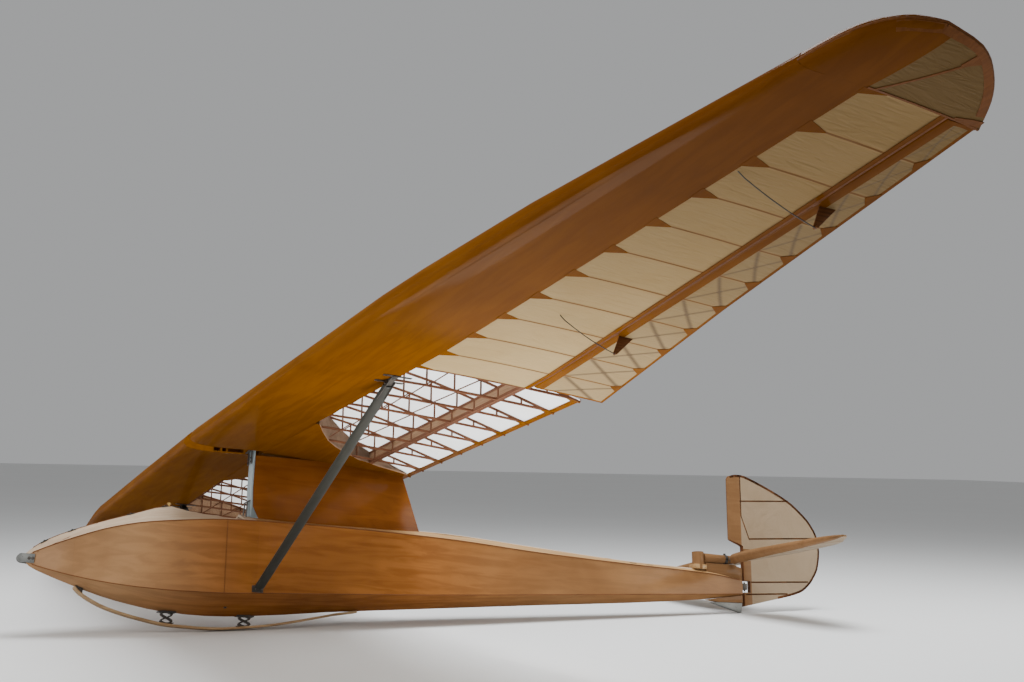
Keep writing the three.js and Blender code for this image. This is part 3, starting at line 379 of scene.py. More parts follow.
# %% Floor
f = Finish("studio_floor")
cloudy = f.spread(f.add("TexCoord", out=3), 0.35, 2)
FLOOR = f.finish(f.colours(cloudy * 0.4, (0.70, 0.70, 0.69), (0.62, 0.62, 0.62)), 0.85 + cloudy * 0.1)
bm = bmesh.new()
bmesh.ops.create_grid(bm, x_segments=1, y_segments=1, size=70)
floor = bpy.data.objects.new("floor", bpy.data.meshes.new("floor"))
bm.to_mesh(floor.data)
floor.data.materials.append(FLOOR)
bpy.context.scene.collection.objects.link(floor)
print("floor", floor.dimensions[:2])

# %% [markdown]
# The record names a few material slots, and each finish belongs to one of them. With that listed
# once, the slot for a new piece is looked up from its first finish, unless it names another as the
# seams of the hull do, but the piece does not keep it. Every cloth is doped fabric.

# %% Slots
SLOTS = {
    "varnished_ply": (WING_PLY, PYLON_PLY, BOW_WOOD, EDGE_WOOD), "honey_ply": (HULL_PLY, TAIL_PLY),
    "pale_ply": (DECK_PLY, BARE_PLY, DIAL_MARK), "spruce": (RIB_WOOD, SPAR_WOOD, SKID_WOOD),
    "strut_paint": (STRUT_PAINT,), "post_paint": (POST_PAINT,), "dark_steel": (DARK_STEEL,),
    "bright_steel": (PALE_STEEL, BRASS), "panel_black": (PANEL_PAINT, DIAL_FACE)}
SLOT_OF = {finish.name: slot for slot, finishes in SLOTS.items() for finish in finishes}
print(len(SLOT_OF), "finishes have a slot besides cloth")

# %% [markdown]
# A few ways of making a shape serve every piece. A wrapped grid makes a skin round a row of rings. A
# copy of a solid part, welded, softened and given its finish, keeps a form that is right already. A
# sheet pushed out by its own thickness makes plates and strips; bars and tubes make the rest.

# %% Ways to make a piece
FLOOR_TOUCH, WELD = 0.0003, 2e-5


def outward(bm):
    """Turns every face outwards"""
    bmesh.ops.recalc_face_normals(bm, faces=bm.faces)
    return bm


def softened(bm, edges, offset):
    """Rounds edges with two facets"""
    bmesh.ops.bevel(bm, geom=edges, offset=offset, segments=2, profile=0.5, affect="EDGES",
                    clamp_overlap=True, material=-1)
    return bm


def mirrored(bm, side):
    """Puts a shape that was drawn for the port side on the given side"""
    bmesh.ops.scale(bm, verts=bm.verts, vec=(1, side, 1))
    return outward(bm)


def piece(name, bm, finish, body="airframe", slot=None, angle=38, level=False):
    """Ends a shape: puts it in its place, shades it and lets it ride on a body"""
    if not level:
        bmesh.ops.transform(bm, matrix=GLIDER, verts=bm.verts)
    for vert in bm.verts:
        vert.co.z = max(vert.co.z, FLOOR_TOUCH)
    for face in bm.faces:
        face.smooth = True
    for edge in bm.edges:
        edge.smooth = edge.is_manifold and edge.calc_face_angle(0) < math.radians(angle)
    made = bpy.data.objects.new(name, bpy.data.meshes.new(name))
    bm.to_mesh(made.data)
    bm.free()
    finishes = finish if isinstance(finish, list) else [finish]
    for each in finishes:
        made.data.materials.append(each)
    bpy.context.scene.collection.objects.link(made)
    if body:
        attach(made, body)
    slot or SLOT_OF.get(finishes[0].name, "doped_fabric")
    return made


def dressed(node, finish, body="airframe", soften=0.0, angle=30):
    """A welded copy of a solid part with softened edges and its own finish, standing for the part"""
    bm = bmesh.new()
    bm.from_mesh(frame["nodes"][node].data)
    bmesh.ops.remove_doubles(bm, verts=bm.verts, dist=WELD)
    bmesh.ops.dissolve_limit(bm, angle_limit=math.radians(1.2), verts=bm.verts, edges=bm.edges)
    if soften:
        limit = math.radians(angle)
        softened(bm, [e for e in bm.edges if e.is_manifold and e.calc_face_angle(0) > limit], soften)
    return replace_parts(piece(f"{node}_dressed", bm, finish, body, angle=angle, level=True), node)


def grid(columns, rows, shape):
    """A sheet whose point at shares u and v of its sides lies at shape(u, v), with a UV map"""
    bm = bmesh.new()
    bmesh.ops.create_grid(bm, x_segments=columns, y_segments=rows, size=0.5)
    uv = bm.loops.layers.uv.new("UVMap")
    shares = {v: (v.co.x + 0.5, v.co.y + 0.5) for v in bm.verts}
    for face in bm.faces:
        for loop in face.loops:
            loop[uv].uv = shares[loop.vert]
    for vert, (u, v) in shares.items():
        vert.co = shape(u, v)
    return bm


def wrapped(rings, close=True, uvs=None):
    """A skin round rings of equal point counts; uvs(i, j) gives the pattern's place at a point"""
    rows, columns = len(rings) - 1, len(rings[0])

    def at(u, v):
        return round(v * rows), round(u * columns)

    bm = grid(columns, rows, lambda u, v: rings[at(u, v)[0]][at(u, v)[1] % columns])
    if uvs:
        uv = bm.loops.layers.uv.active
        for face in bm.faces:
            for loop in face.loops:
                loop[uv].uv = uvs(*at(*loop[uv].uv))
    bmesh.ops.remove_doubles(bm, verts=bm.verts, dist=1e-5)
    if close:
        bmesh.ops.holes_fill(bm, edges=bm.edges, sides=0)
    return outward(bm)


def thicken(bm, deep):
    """Gives a sheet its thickness, and turns its faces outwards"""
    bmesh.ops.solidify(bm, geom=bm.faces[:], thickness=deep)
    return outward(bm)


def merged(parts):
    """Many shapes as one piece"""
    whole = bmesh.new()
    for part in parts:
        mesh = bpy.data.meshes.new("part")
        part.to_mesh(mesh)
        part.free()
        whole.from_mesh(mesh)
        bpy.data.meshes.remove(mesh)
    return whole


def bar(start, end, wide, deep=None, sides=4, facing=(0, 0, 1), soften=0.0, end_scale=1.0):
    """A stick with four sides or a round rod between two points"""
    start, end = Vector(start), Vector(end)
    bm = bmesh.new()
    length = (end - start).length
    if sides == 4:
        bmesh.ops.create_cube(bm, size=1, matrix=Matrix.Diagonal((wide, deep or wide, length, 1)))
        if soften:
            softened(bm, bm.edges[:], soften)
    else:
        bmesh.ops.create_cone(bm, cap_ends=True, segments=sides, radius1=wide / 2,
                              radius2=wide / 2 * end_scale, depth=length)
    axis = (end - start).normalized()
    side = Vector(facing).cross(axis)
    side = side.normalized() if side.length > 1e-6 else axis.orthogonal()
    facing_turn = Matrix((side, axis.cross(side), axis)).transposed().to_4x4()
    bmesh.ops.transform(bm, matrix=Matrix.Translation((start + end) / 2) @ facing_turn, verts=bm.verts)
    return bm


def tube(points, radius, sides=8):
    """A round rod that follows a line of points"""
    line = [Vector(p) for p in points]
    rings, side = [], None
    for i, point in enumerate(line):
        way = (line[min(i + 1, len(line) - 1)] - line[max(i - 1, 0)]).normalized()
        side = way.orthogonal() if side is None else side - way * side.dot(way)
        side.normalize()
        other = way.cross(side)
        rings.append([point + (side * math.cos(a) + other * math.sin(a)) * radius
                      for a in (2 * math.pi * n / sides for n in range(sides))])
    return wrapped(rings)


def edge_band(line, wide, place, thick):
    """A strip just inside a bent outline; place(a, b) lays a point of its plane on the surface"""
    ends = len(line) - 1

    def shape(u, v):
        n = round(u * ends)
        way = Vector(line[min(n + 1, ends)]) - Vector(line[max(n - 1, 0)])
        return place(*(Vector(line[n]) + Vector((-way.y, way.x)).normalized() * v * wide))

    return thicken(grid(ends, 1, shape), thick)


def ribbon(start, end, widths, place, thick, cuts=10, across=None):
    """A strip between two points that widens from the first to the second of its widths"""
    start, end = Vector(start), Vector(end)
    way = (end - start).normalized()
    across = Vector(across or (way.y, -way.x))

    def shape(u, v):
        wide = widths[0] + (widths[1] - widths[0]) * u
        return place(*(start.lerp(end, u) + across * (v - 0.5) * wide))

    return thicken(grid(cuts, 1, shape), thick)


def circle(centre, radius, count, first=0.0):
    """Points round a circle that faces along the fuselage"""
    angles = (first + 2 * math.pi * n / count for n in range(count))
    return [Vector(centre) + Vector((0, math.cos(a), math.sin(a))) * radius for a in angles]


def bolt(at, way, size=0.012):
    """A hexagon head on its washer, facing the given way"""
    at, way = Vector(at), Vector(way).normalized()
    return [bar(at - way * 0.002, at + way * 0.0015, size * 1.8, sides=16),
            bar(at, at + way * size * 0.6, size, sides=6, end_scale=0.9)]


def flat_bar(start, end, wide, deep, facing=(0, 0, 1)):
    """A metal strap or wooden strip with broken edges"""
    return bar(start, end, wide, deep, facing=facing, soften=min(0.0015, deep * 0.4))


print("helpers ready")

# %% [markdown]
# The wing's lines are few: the nose, the rear edge of the nose ply and the tail in plan, and one
# section that is stretched to each chord. The same lines drew the solid wing, so sheets made from
# them lie on it exactly. Heights between given places follow a curve that never overshoots.

# %% Wing lines
RIB, FIRST_CLOTH_RIB, LAST_RIB, GAP = WING_RIB, 8, 19, 0.0003
CLOTH_START, CLOTH_END, TAPER_START = FIRST_CLOTH_RIB * RIB, LAST_RIB * RIB, 2.75
NOSE = [(0, 0.492), (2.75, 0.450), (3.96, 0.346), (5.7912, 0.070)]
PLY_EDGE = [(0, 0.0), (2.75, -0.080), (3.96, -0.130), (5.7912, -0.205)]
TAIL = [(0, -1.034), (2.75, -1.034), (3.96, -0.917), (5.7912, -0.672)]
PLACES = (0, 0.008, 0.03, 0.08, 0.17, 0.32, 0.5, 0.68, 0.815, 0.93, 1)
UPPER, LOWER = (list(zip(PLACES, heights)) for heights in (
    (0.004, 0.026, 0.05, 0.08, 0.109, 0.122, 0.108, 0.077, 0.046, 0.018, 0.002),
    (-0.004, -0.013, -0.02, -0.022, -0.016, -0.004, 0.002, 0.004, 0.003, 0.001, -0.002)))
DROOP, TIP_RISE, NOSE_LEVEL = 0.0655, 0.0394, 0.034


def spaced(start, end, steps):
    """Evenly spaced places from start to end"""
    return [start + (end - start) * n / steps for n in range(steps + 1)]


def slack(y, pitch):
    """How far cloth has sunk at a place along the span: 0 at a rib, 1 midway between two"""
    return abs(math.sin(math.pi * y / pitch)) ** 0.8


def straight(points, at):
    """Reads a bent line at a place, level beyond its ends"""
    if at <= points[0][0]:
        return points[0][1]
    for (a, p), (b, q) in zip(points, points[1:]):
        if at <= b:
            return p + (q - p) * (at - a) / (b - a)
    return points[-1][1]


def curved(points, at):
    """Reads a smooth line through the same kind of points"""
    if not points[0][0] < at < points[-1][0]:
        return straight(points, at)
    slopes = [(q - p) / (b - a) for (a, p), (b, q) in zip(points, points[1:])]
    inner = [0 if s * t <= 0 else 2 * s * t / (s + t) for s, t in zip(slopes, slopes[1:])]
    turns = [slopes[0], *inner, slopes[-1]]
    i = next(n for n in range(len(slopes)) if at <= points[n + 1][0])
    (a, p), (b, q) = points[i], points[i + 1]
    t, wide = (at - a) / (b - a), b - a
    return ((1 + 2 * t) * (1 - t) ** 2 * p + t * (1 - t) ** 2 * wide * turns[i]
            + t * t * (3 - 2 * t) * q + t * t * (t - 1) * wide * turns[i + 1])


def height(y, x, side_of_section):
    """Height of the wing's upper or lower skin"""
    nose, tail, rise = curved(NOSE, y), straight(TAIL, y), max(0.0, y - TAPER_START) * TIP_RISE
    low = rise + tail * DROOP
    chord_line = low + (NOSE_LEVEL + rise - low) * (x - tail) / (nose - tail)
    return chord_line + (nose - tail) * curved(side_of_section, (nose - x) / (nose - tail))


def hinge(y):
    """Aileron hinge line: x, z and half the wing's depth"""
    ends = []
    for at, x in ((CLOTH_START, -0.752), (CLOTH_END, -0.560)):
        top, bottom = height(at, x, UPPER), height(at, x, LOWER)
        ends.append((x, (top + bottom) / 2, (top - bottom) / 2 - 0.001))
    share = min(1, max(0, (y - CLOTH_START) / (CLOTH_END - CLOTH_START)))
    return [a + (b - a) * share for a, b in zip(*ends)]


def slot_edge(y, ahead=0.0):
    """Front edge of the aileron slot, or a line that far ahead of it"""
    return hinge(y)[0] + hinge(y)[2] + 0.007 + ahead


print("inner chord", round(NOSE[0][1] - TAIL[0][1], 3), "m")

# %% [markdown]
# The nose of the wing is a closed box of orange varnished ply, and its solid is already right: it
# needs only welded edges and the varnish. The centre block also gets its edges rounded.

# %% Wing nose, centre block and root fillets
SIDES = (("port", 1), ("starboard", -1))
for label, side in SIDES:
    dressed(f"leading_edge_{label}", WING_PLY, angle=28)
    dressed(f"root_fillet_{label}", WING_PLY)
dressed("wing_centre_block", WING_PLY, soften=0.002)
print("wing nose dressed on both sides")

# %% [markdown]
# Cloth is tight along each rib and sinks a few millimetres between ribs, so a wing panel is drawn
# from rings at sixths of a bay. The rings close over the rear spar face, which is bare wood.

# %% Cloth panels outboard
def cloth_panel(label, side):
    """Cloth from the ply edge to the aileron slot, from rib 8 to rib 19"""
    over, rings = 12, []
    places = spaced(CLOTH_START + GAP, CLOTH_END, 66)
    for y in places:
        xs = spaced(straight(PLY_EDGE, y) - GAP, slot_edge(y), over)
        sink = [slack(y, RIB) * math.sin(math.pi * n / over) ** 0.6 for n in range(over + 1)]
        top, under = ([Vector((x, side * y, height(y, x, skin) + deep * d)) for x, d in zip(xs, sink)]
                      for skin, deep in ((UPPER, -0.0045), (LOWER, 0.0055)))
        rings.append(top + under[::-1])
    counts = spaced(CLOTH_START / RIB, CLOTH_END / RIB, len(places) - 1)
    bm = wrapped(rings, uvs=lambda i, j: (counts[i], j / len(rings[0])))
    for face in bm.faces:
        if abs(face.normal.x) > 0.8 or abs(face.normal.y) > 0.8:
            face.material_index = 1
    made = piece(f"wing_cloth_{label}", bm, [WING_CLOTH, SPAR_WOOD])
    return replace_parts(made, f"wing_panel_{label}")


for label, side in SIDES:
    panel = cloth_panel(label, side)
    print(panel.name, len(panel.data.polygons), "faces")

# %% [markdown]
# Where a rib leaves the nose box, a triangle of ply spreads its load, so the ply edge looks like a
# row of teeth. Each tooth is a thin plate laid on the skin; the outer wing has them above and below.

# %% Teeth along the ply edge
TOOTH_HALF, TOOTH_LONG = 0.046, 0.086


def plate(outline, lift, side, skin, thick=0.0016):
    """A thin plate on the wing's skin from its outline in plan; lift is its rise off the cloth"""
    bm, out = bmesh.new(), 1 if skin is UPPER else -1
    bm.faces.new([bm.verts.new((x, y, height(y, x, skin) + out * lift)) for x, y in outline])
    below = bmesh.ops.extrude_face_region(outward(bm), geom=bm.faces[:])
    moved = [g for g in below["geom"] if isinstance(g, bmesh.types.BMVert)]
    bmesh.ops.translate(bm, verts=moved, vec=(0, 0, -out * thick))
    return mirrored(bm, side)


def teeth(label, side):
    """One plate above and one below at each rib of the cloth panel"""
    parts = []
    for rib in range(FIRST_CLOTH_RIB, LAST_RIB + 1):
        y = rib * RIB
        inner = y if rib == FIRST_CLOTH_RIB else y - TOOTH_HALF
        outer = y if rib == LAST_RIB else y + TOOTH_HALF
        tip_y, edge = min(max(y, CLOTH_START + 0.004), CLOTH_END - 0.004), straight(PLY_EDGE, y)
        outline = [(edge + 0.01, inner), (edge + 0.01, outer), (edge - TOOTH_LONG, tip_y + 0.003),
                   (edge - TOOTH_LONG, tip_y - 0.003)]
        parts += [plate(outline, 0.0009, side, skin) for skin in (LOWER, UPPER)]
    return piece(f"ply_teeth_{label}", merged(parts), WING_PLY)


for label, side in SIDES:
    made = teeth(label, side)
    print(made.name, len(made.data.polygons), "faces")

# %% [markdown]
# A narrow ply strip closes the rear spar in front of the aileron slot, and a dark band along the slot
# itself paints the shade in the gap. Both follow the hinge line, so they are drawn as bands along the span.

# %% Rear spar strips and painted slot shade
def band(y_from, y_to, x_front, x_back, skin, side, lift=0.0011, thick=0.0016, steps=33):
    """A strip on the skin along the span, between two lines given as functions of y"""
    def on_skin(u, v):
        y = y_from + (y_to - y_from) * u
        x = x_front(y) + (x_back(y) - x_front(y)) * v
        return Vector((x, side * y, height(y, x, skin) + (lift if skin is UPPER else -lift)))

    return thicken(grid(steps, 2, on_skin), thick)


SPAR_STRIP, SLOT_SHADE = 0.028, 0.009
along = (CLOTH_START + 0.0005, CLOTH_END)
for label, side in SIDES:
    strips = [band(*along, lambda y: slot_edge(y, SPAR_STRIP), slot_edge, skin, side)
              for skin in (LOWER, UPPER)]
    piece(f"rear_spar_strip_{label}", merged(strips), WING_PLY)
    # A dark band on the lower skin at the slot: painted shade of the aileron gap.
    slot_shadow_band = band(*along, lambda y: slot_edge(y, SLOT_SHADE), slot_edge, LOWER, side, 0.0020)
    piece(f"slot_shadow_{label}", slot_shadow_band, EDGE_WOOD)
print("rear spar strips on both sides")

# %% [markdown]
# An aileron is a small wing of its own: a round ply nose at the hinge, ribs in line with the wing's,
# a wooden trailing edge with a ply corner at each rib, and thin cloth. Its crossed bracing casts
# shadows through the cloth from behind, which the finish paints as painted shadow between each pair of ribs.

# %% Ailerons
AILERON_START, AILERON_END = CLOTH_START + 0.034, CLOTH_END - 0.012
AILERON_TAIL = [(AILERON_START, -1.150), (3.96, -0.917), (AILERON_END, -0.672)]
TILT = math.atan(DROOP) + math.radians(5)
NOSE_STRIP, TAIL_STRIP, END_STRIP = 0.036, 0.016, 0.020


def on_aileron(y, back, up):
    """A point of the aileron from its distance behind the hinge and its height off the centre plane"""
    x, z, _ = hinge(y)
    return Vector((x - back * math.cos(TILT) - up * math.sin(TILT), y,
                   z - back * math.sin(TILT) + up * math.cos(TILT)))


def aileron_chord(y):
    return hinge(y)[0] - straight(AILERON_TAIL, y)


def aileron_depth(y, back):
    """Half the aileron's thickness at a distance behind the hinge"""
    radius = hinge(y)[2]
    return radius + (0.003 - radius) * min(1, back / aileron_chord(y))


def aileron(label, side):
    """The aileron's skin, from rings round its nose and both faces"""
    rings, fractions = [], (0, 0.12, 0.24, 0.38, 0.52, 0.66, 0.8, 0.92, 1)
    places = spaced(AILERON_START, AILERON_END, 66)
    places = sorted(places + [AILERON_START + END_STRIP, AILERON_END - END_STRIP])
    for y in places:
        radius, chord = hinge(y)[2], aileron_chord(y)
        strip = min(NOSE_STRIP, chord * 0.4)
        backs = [0, strip] + [strip + f * (chord - TAIL_STRIP - strip) for f in fractions[1:]] + [chord]
        deep = 0.003 * slack(y, RIB)
        sink = [deep * math.sin(math.pi * f) ** 0.6 if f < 1 else 0 for f in fractions[1:]]
        line = [(b, aileron_depth(y, b) - s) for b, s in zip(backs, [0, 0] + sink + [0])]
        nose = [(-radius * math.sin(a), radius * math.cos(a)) for a in (math.pi * k / 8 for k in range(1, 8))]
        outline = nose + [(b, -u) for b, u in line] + line[::-1]
        rings.append([Vector((p.x, side * p.y, p.z)) for p in (on_aileron(y, b, u) for b, u in outline)])
    ranks = [0] * 7 + list(range(11)) + list(range(11))[::-1]
    shares = (0, 0, *fractions[1:], 1.1)
    bm = wrapped(rings, uvs=lambda i, j: (places[i] / RIB, shares[ranks[j % len(ranks)]]))
    uv = bm.loops.layers.uv.active
    for face in bm.faces:
        middle = sum((loop[uv].uv.y for loop in face.loops)) / len(face.loops)
        y = abs(face.calc_center_median().y)
        at_end = not AILERON_START + END_STRIP < y < AILERON_END - END_STRIP
        face.material_index = 1 if middle < 0.001 or middle > 1.0 or at_end else 0
    made = piece(f"aileron_cloth_{label}", bm, [AILERON_CLOTH, WING_PLY], f"aileron_{label}")
    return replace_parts(made, f"aileron_{label}")


def aileron_trim(label, side):
    """Ply corners at the tail of each rib, above and below"""
    parts = []
    for rib in range(FIRST_CLOTH_RIB + 1, LAST_RIB):
        y, chord = rib * RIB, aileron_chord(rib * RIB)
        long = min(0.062, chord * 0.3)
        corners = [(-0.052, chord - 0.012), (0.052, chord - 0.012), (0.005, chord - long),
                   (-0.005, chord - long)]
        for out in (-1, 1):
            bm = bmesh.new()
            bm.faces.new([bm.verts.new(on_aileron(
                y + dy, min(b, aileron_chord(y + dy) - 0.004), out * (aileron_depth(y + dy, b) + 0.0009)))
                for dy, b in corners])
            parts.append(thicken(outward(bm), 0.0014))
    return piece(f"aileron_corners_{label}", mirrored(merged(parts), side), WING_PLY, f"aileron_{label}")


HORNS, WIRE_END = (3.400, 5.030), (0.018, -0.094)


def horns(label, side):
    """Two bent control horns, each with its shackle and plinth"""
    parts = []
    for y in HORNS:
        x, z, radius = hinge(y)
        base = z - radius + 0.004
        horn = bmesh.new()
        horn.faces.new([horn.verts.new((x + dx, y - 0.003, base + dz)) for dx, dz in (
            (-0.006, 0), (-0.088, 0), (0.012, -0.098), (0.030, -0.092))])
        bmesh.ops.subdivide_edges(horn, edges=horn.edges[:], cuts=1)
        thicken(horn, 0.006)
        pin = Vector((x + WIRE_END[0], y, base + WIRE_END[1]))
        half_pin = Vector((0, 0.012, 0))
        plinth = bmesh.new()
        foot = Matrix.Translation((x - 0.048, y, base + 0.001))
        bmesh.ops.create_cube(plinth, size=1, matrix=foot @ Matrix.Diagonal((0.130, 0.046, 0.006, 1)))
        parts += [softened(horn, horn.edges[:], 0.0012), bar(pin - half_pin, pin + half_pin, 0.012, sides=10),
                  softened(plinth, plinth.edges[:], 0.003)]
    return piece(f"aileron_horns_{label}", mirrored(merged(parts), side), EDGE_WOOD, f"aileron_{label}")


for label, side in SIDES:
    print([made.name for made in (aileron(label, side), aileron_trim(label, side), horns(label, side))])

# %% [markdown]
# Each horn is pulled by a thin wire that leaves the wing through a slit in the cloth. The wire is
# taut, so it is a thin rod with hardly any sag.

# %% Aileron wires
def aileron_wire(label, side, number, exit_xy, horn_y):
    """A thin rod from the slit in the cloth to a horn's shackle"""
    x, z, radius = hinge(horn_y)
    start = Vector((exit_xy[0], exit_xy[1], height(exit_xy[1], exit_xy[0], LOWER)))
    end = Vector((x + WIRE_END[0], horn_y, z - radius + 0.004 + WIRE_END[1]))
    points = []
    for share in spaced(0, 1, 12):
        p = start.lerp(end, share)
        drop = 0.012 * math.sin(math.pi * share) + (0.004 if share else -0.002)
        points.append((p.x, side * p.y, p.z - drop))
    wire = piece(f"aileron_wire_{number}_{label}", tube(points, 0.0024, 6), DARK_STEEL, None)
    first, last = (GLIDER @ Vector((p.x, side * p.y, p.z)) for p in (start, end))
    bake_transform(wire)
    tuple(first)
    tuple(last)
    return wire


for label, side in SIDES:
    aileron_wire(label, side, 1, (-0.331, 3.494), HORNS[0])
    aileron_wire(label, side, 2, (-0.190, 5.096), HORNS[1])
print("aileron wires at", HORNS)

# %% [markdown]
# Past the last rib the wing ends in a rounded tip: a laminated bow, one stick that runs out to it
# from the end of the spar, ply in front of that stick's root and cloth behind.

# %% Wing tips
TIP_NOSE = [(5.7912, 0.070), (5.985, 0.016), (6.103, -0.080), (6.155, -0.215)]
TIP_TAIL = [(5.7912, -0.672), (5.950, -0.580), (6.060, -0.480), (6.130, -0.370), (6.155, -0.215)]
TIP_REACH, TIP_FRONT, TIP_BACK = TIP_NOSE[-1][0] - CLOTH_END, NOSE[-1][1], TAIL[-1][1]
BOW_WIDE, BOW_SEEN = 0.029, slice(10, -2)
TIP_STRIPS = (  # start, end, widths, lift
    ((-0.232, CLOTH_END + 0.004), (-0.424, 6.084), (0.009, 0.009), 0.001),
    ((-0.380, 6.030), (-0.422, 6.090), (0.010, 0.062), 0.0012),
    ((-0.205, CLOTH_END + 0.004), (-0.668, CLOTH_END + 0.004), (0.009, 0.009), 0.0012),
    ((-0.560, CLOTH_END + 0.010), (-0.655, CLOTH_END + 0.022), (0.012, 0.056), 0.0012))


def tip_height(y, x, out):
    """Height of the tip's skin: above (1), below (-1) or midway (0)"""
    front, back = curved(TIP_NOSE, y), curved(TIP_TAIL, y)
    share = min(1, max(0, (front - x) / max(front - back, 1e-6)))
    root, here = TIP_FRONT - share * (TIP_FRONT - TIP_BACK), min(TIP_FRONT, max(TIP_BACK, x))
    deep = height(CLOTH_END, root, UPPER) - height(CLOTH_END, root, LOWER)
    step = (y - CLOTH_END) / TIP_REACH
    half = max(0.004, deep / 2 * math.sqrt(max(0.02, 1 - step * step)))
    middle = (height(CLOTH_END, here, UPPER) + height(CLOTH_END, here, LOWER)) / 2
    return middle + (y - CLOTH_END) * TIP_RISE + out * half


def tip_ply_edge(step):
    """Where the ply of the tip's nose ends, at a share of the tip's length"""
    return PLY_EDGE[-1][1] - 0.06 * step


def wing_tip(label, side):
    """The tip's skin: ply round the nose, cloth behind"""
    rings = []
    steps = [0, 0.1, 0.2, 0.3, 0.4, 0.5, 0.58, 0.66, 0.74, 0.8, 0.86, 0.9, 0.94, 0.965, 0.985]
    for step in steps:
        y = CLOTH_END + GAP + step * (TIP_REACH - GAP)
        front, back = curved(TIP_NOSE, y), curved(TIP_TAIL, y)
        edge = min(front - 0.002, max(back + 0.004, tip_ply_edge(step)))
        xs = [front + s * (edge - front) for s in (0, 0.06, 0.2, 0.45, 0.75)]
        xs += [edge + s * (back - edge) for s in (0, 0.2, 0.4, 0.6, 0.8, 0.93, 1)]
        rings.append([Vector((x, side * y, tip_height(y, x, out)))
                      for out, line in ((1, xs), (-1, xs[::-1])) for x in line])
    bm = wrapped(rings)
    for face in bm.faces:
        c = face.calc_center_median()
        step = (abs(c.y) - CLOTH_END) / TIP_REACH
        ply = c.x > tip_ply_edge(step) or abs(face.normal.y) > 0.95
        face.material_index = 1 if ply else 0
    made = piece(f"wing_tip_cloth_{label}", bm, [TIP_CLOTH, WING_PLY], angle=50)
    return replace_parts(made, f"wing_tip_{label}")


def tip_sticks(label, side):
    """The bow round the edge, the diagonal stick, the last rib and the ply corners"""
    ys = [CLOTH_END + TIP_REACH * math.sin(math.pi / 2 * n / 16) * 0.999 for n in range(17)]
    edge = [(curved(TIP_NOSE, y), y) for y in ys] + [(curved(TIP_TAIL, y), y) for y in ys[::-1]]
    bow = [(x, side * y, tip_height(y, x, 0)) for x, y in edge]
    parts = [tube(bow, 0.0040, 8)]
    for out in (-1, 1):
        def on_tip(x, y, lift=0.0012):
            return Vector((x, side * y, tip_height(y, x, out) + out * lift))

        parts.append(edge_band(edge[BOW_SEEN], BOW_WIDE,
                               lambda x, y: on_tip(x, max(y, CLOTH_END + 0.001)), 0.0018))
        for start, end, widths, lift in TIP_STRIPS:
            parts.append(ribbon(start, end, widths, lambda x, y: on_tip(x, y, lift), 0.0022))
    return piece(f"wing_tip_sticks_{label}", outward(merged(parts)), BOW_WOOD)


for label, side in SIDES:
    print(wing_tip(label, side).name, tip_sticks(label, side).name)

# %% [markdown]
# The inner eight bays have lost their lower cloth, so the whole lattice is in view against a thin
# white skin above. Light comes through that skin, which a translucent share in its shader gives.

# %% Open bays
def skin_finish():
    """Thin white cloth that lets light through"""
    f = Finish("upper_skin")
    shade = f.spread(f.place((1, 2, 1)), 2.2, 4, 0.6)
    colour = f.colours(f.fade(shade, 0.35, 0.7) * 0.3, (0.97, 0.97, 0.96), (0.93, 0.91, 0.85))
    relief = f.add("Bump", None, {"Height": shade, "Distance": 0.002})
    body = f.add("BsdfPrincipled", None, {"Base Color": colour, "Roughness": 0.6, "Normal": relief})
    glow = f.add("BsdfTranslucent", None, {"Color": colour})
    f.add("OutputMaterial", None, {"Surface": f.add("MixShader", None, {0: 0.8, 1: body, 2: glow})})
    return f.material


SKIN_CLOTH = skin_finish()
TRAILING_EDGE, TRAILING_STICK, INNER_SPAR, SPAR_FACE, ROOT = -1.034, 0.036, -0.688, 0.0128, 0.0715
FILLET = [(0.104, -1.0), (0.180, -0.755), (0.264, -0.578), (0.366, -0.457),
          (0.498, -0.336), (0.635, -0.235), (0.812, -0.140), (0.980, -0.060)]


def open_bays(label, side):
    """The skin above the lattice, sunk a little between the ribs"""
    back, start, end = TRAILING_EDGE + 0.004, 0.070, CLOTH_START

    def shape(u, v):
        y = start + (end - start) * u
        first = straight(PLY_EDGE, y) - GAP
        x = first + (back - first) * v
        sink = 0.004 * abs(math.sin(math.pi * y / RIB)) * math.sin(math.pi * v) ** 0.6
        return Vector((x, side * y, height(y, x, UPPER) - 0.0002 - sink))

    bm = thicken(grid(64, 22, shape), -0.0022 * side)
    made = piece(f"upper_skin_{label}", bm, SKIN_CLOTH)
    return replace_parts(made, f"upper_cover_{label}")


def lattice(label):
    """The solid lattice, with its rear spar and its trailing edge in their own wood"""
    made = dressed(f"wing_frame_{label}", [RIB_WOOD, SPAR_WOOD, WING_PLY], angle=20)
    back = GLIDER.inverted()
    for face in made.data.polygons:
        x, upright = (back @ face.center).x, abs((turn.transposed() @ face.normal).z) < 0.5
        on_spar = upright and abs(x - INNER_SPAR) < SPAR_FACE - GAP
        face.material_index = 1 if on_spar else (2 if x < TRAILING_EDGE + TRAILING_STICK else 0)
    return made


def lattice_corners(label, side):
    """Ply triangles where the ribs meet the trailing edge"""
    parts = []
    for rib in range(0, FIRST_CLOTH_RIB + 1):
        y = rib * RIB if rib else 0.082
        if rib == FIRST_CLOTH_RIB:
            y -= 0.007
        inner, outer = (y if rib == 0 else y - 0.05), (y if rib == FIRST_CLOTH_RIB else y + 0.05)
        tail, tip = TRAILING_EDGE + 0.008, TRAILING_EDGE + 0.085
        outline = [(tail, inner), (tail, outer), (tip, y + 0.004), (tip, y - 0.004)]
        parts.append(plate(outline, 0.0012, side, LOWER))
    return piece(f"lattice_corners_{label}", merged(parts), WING_PLY)


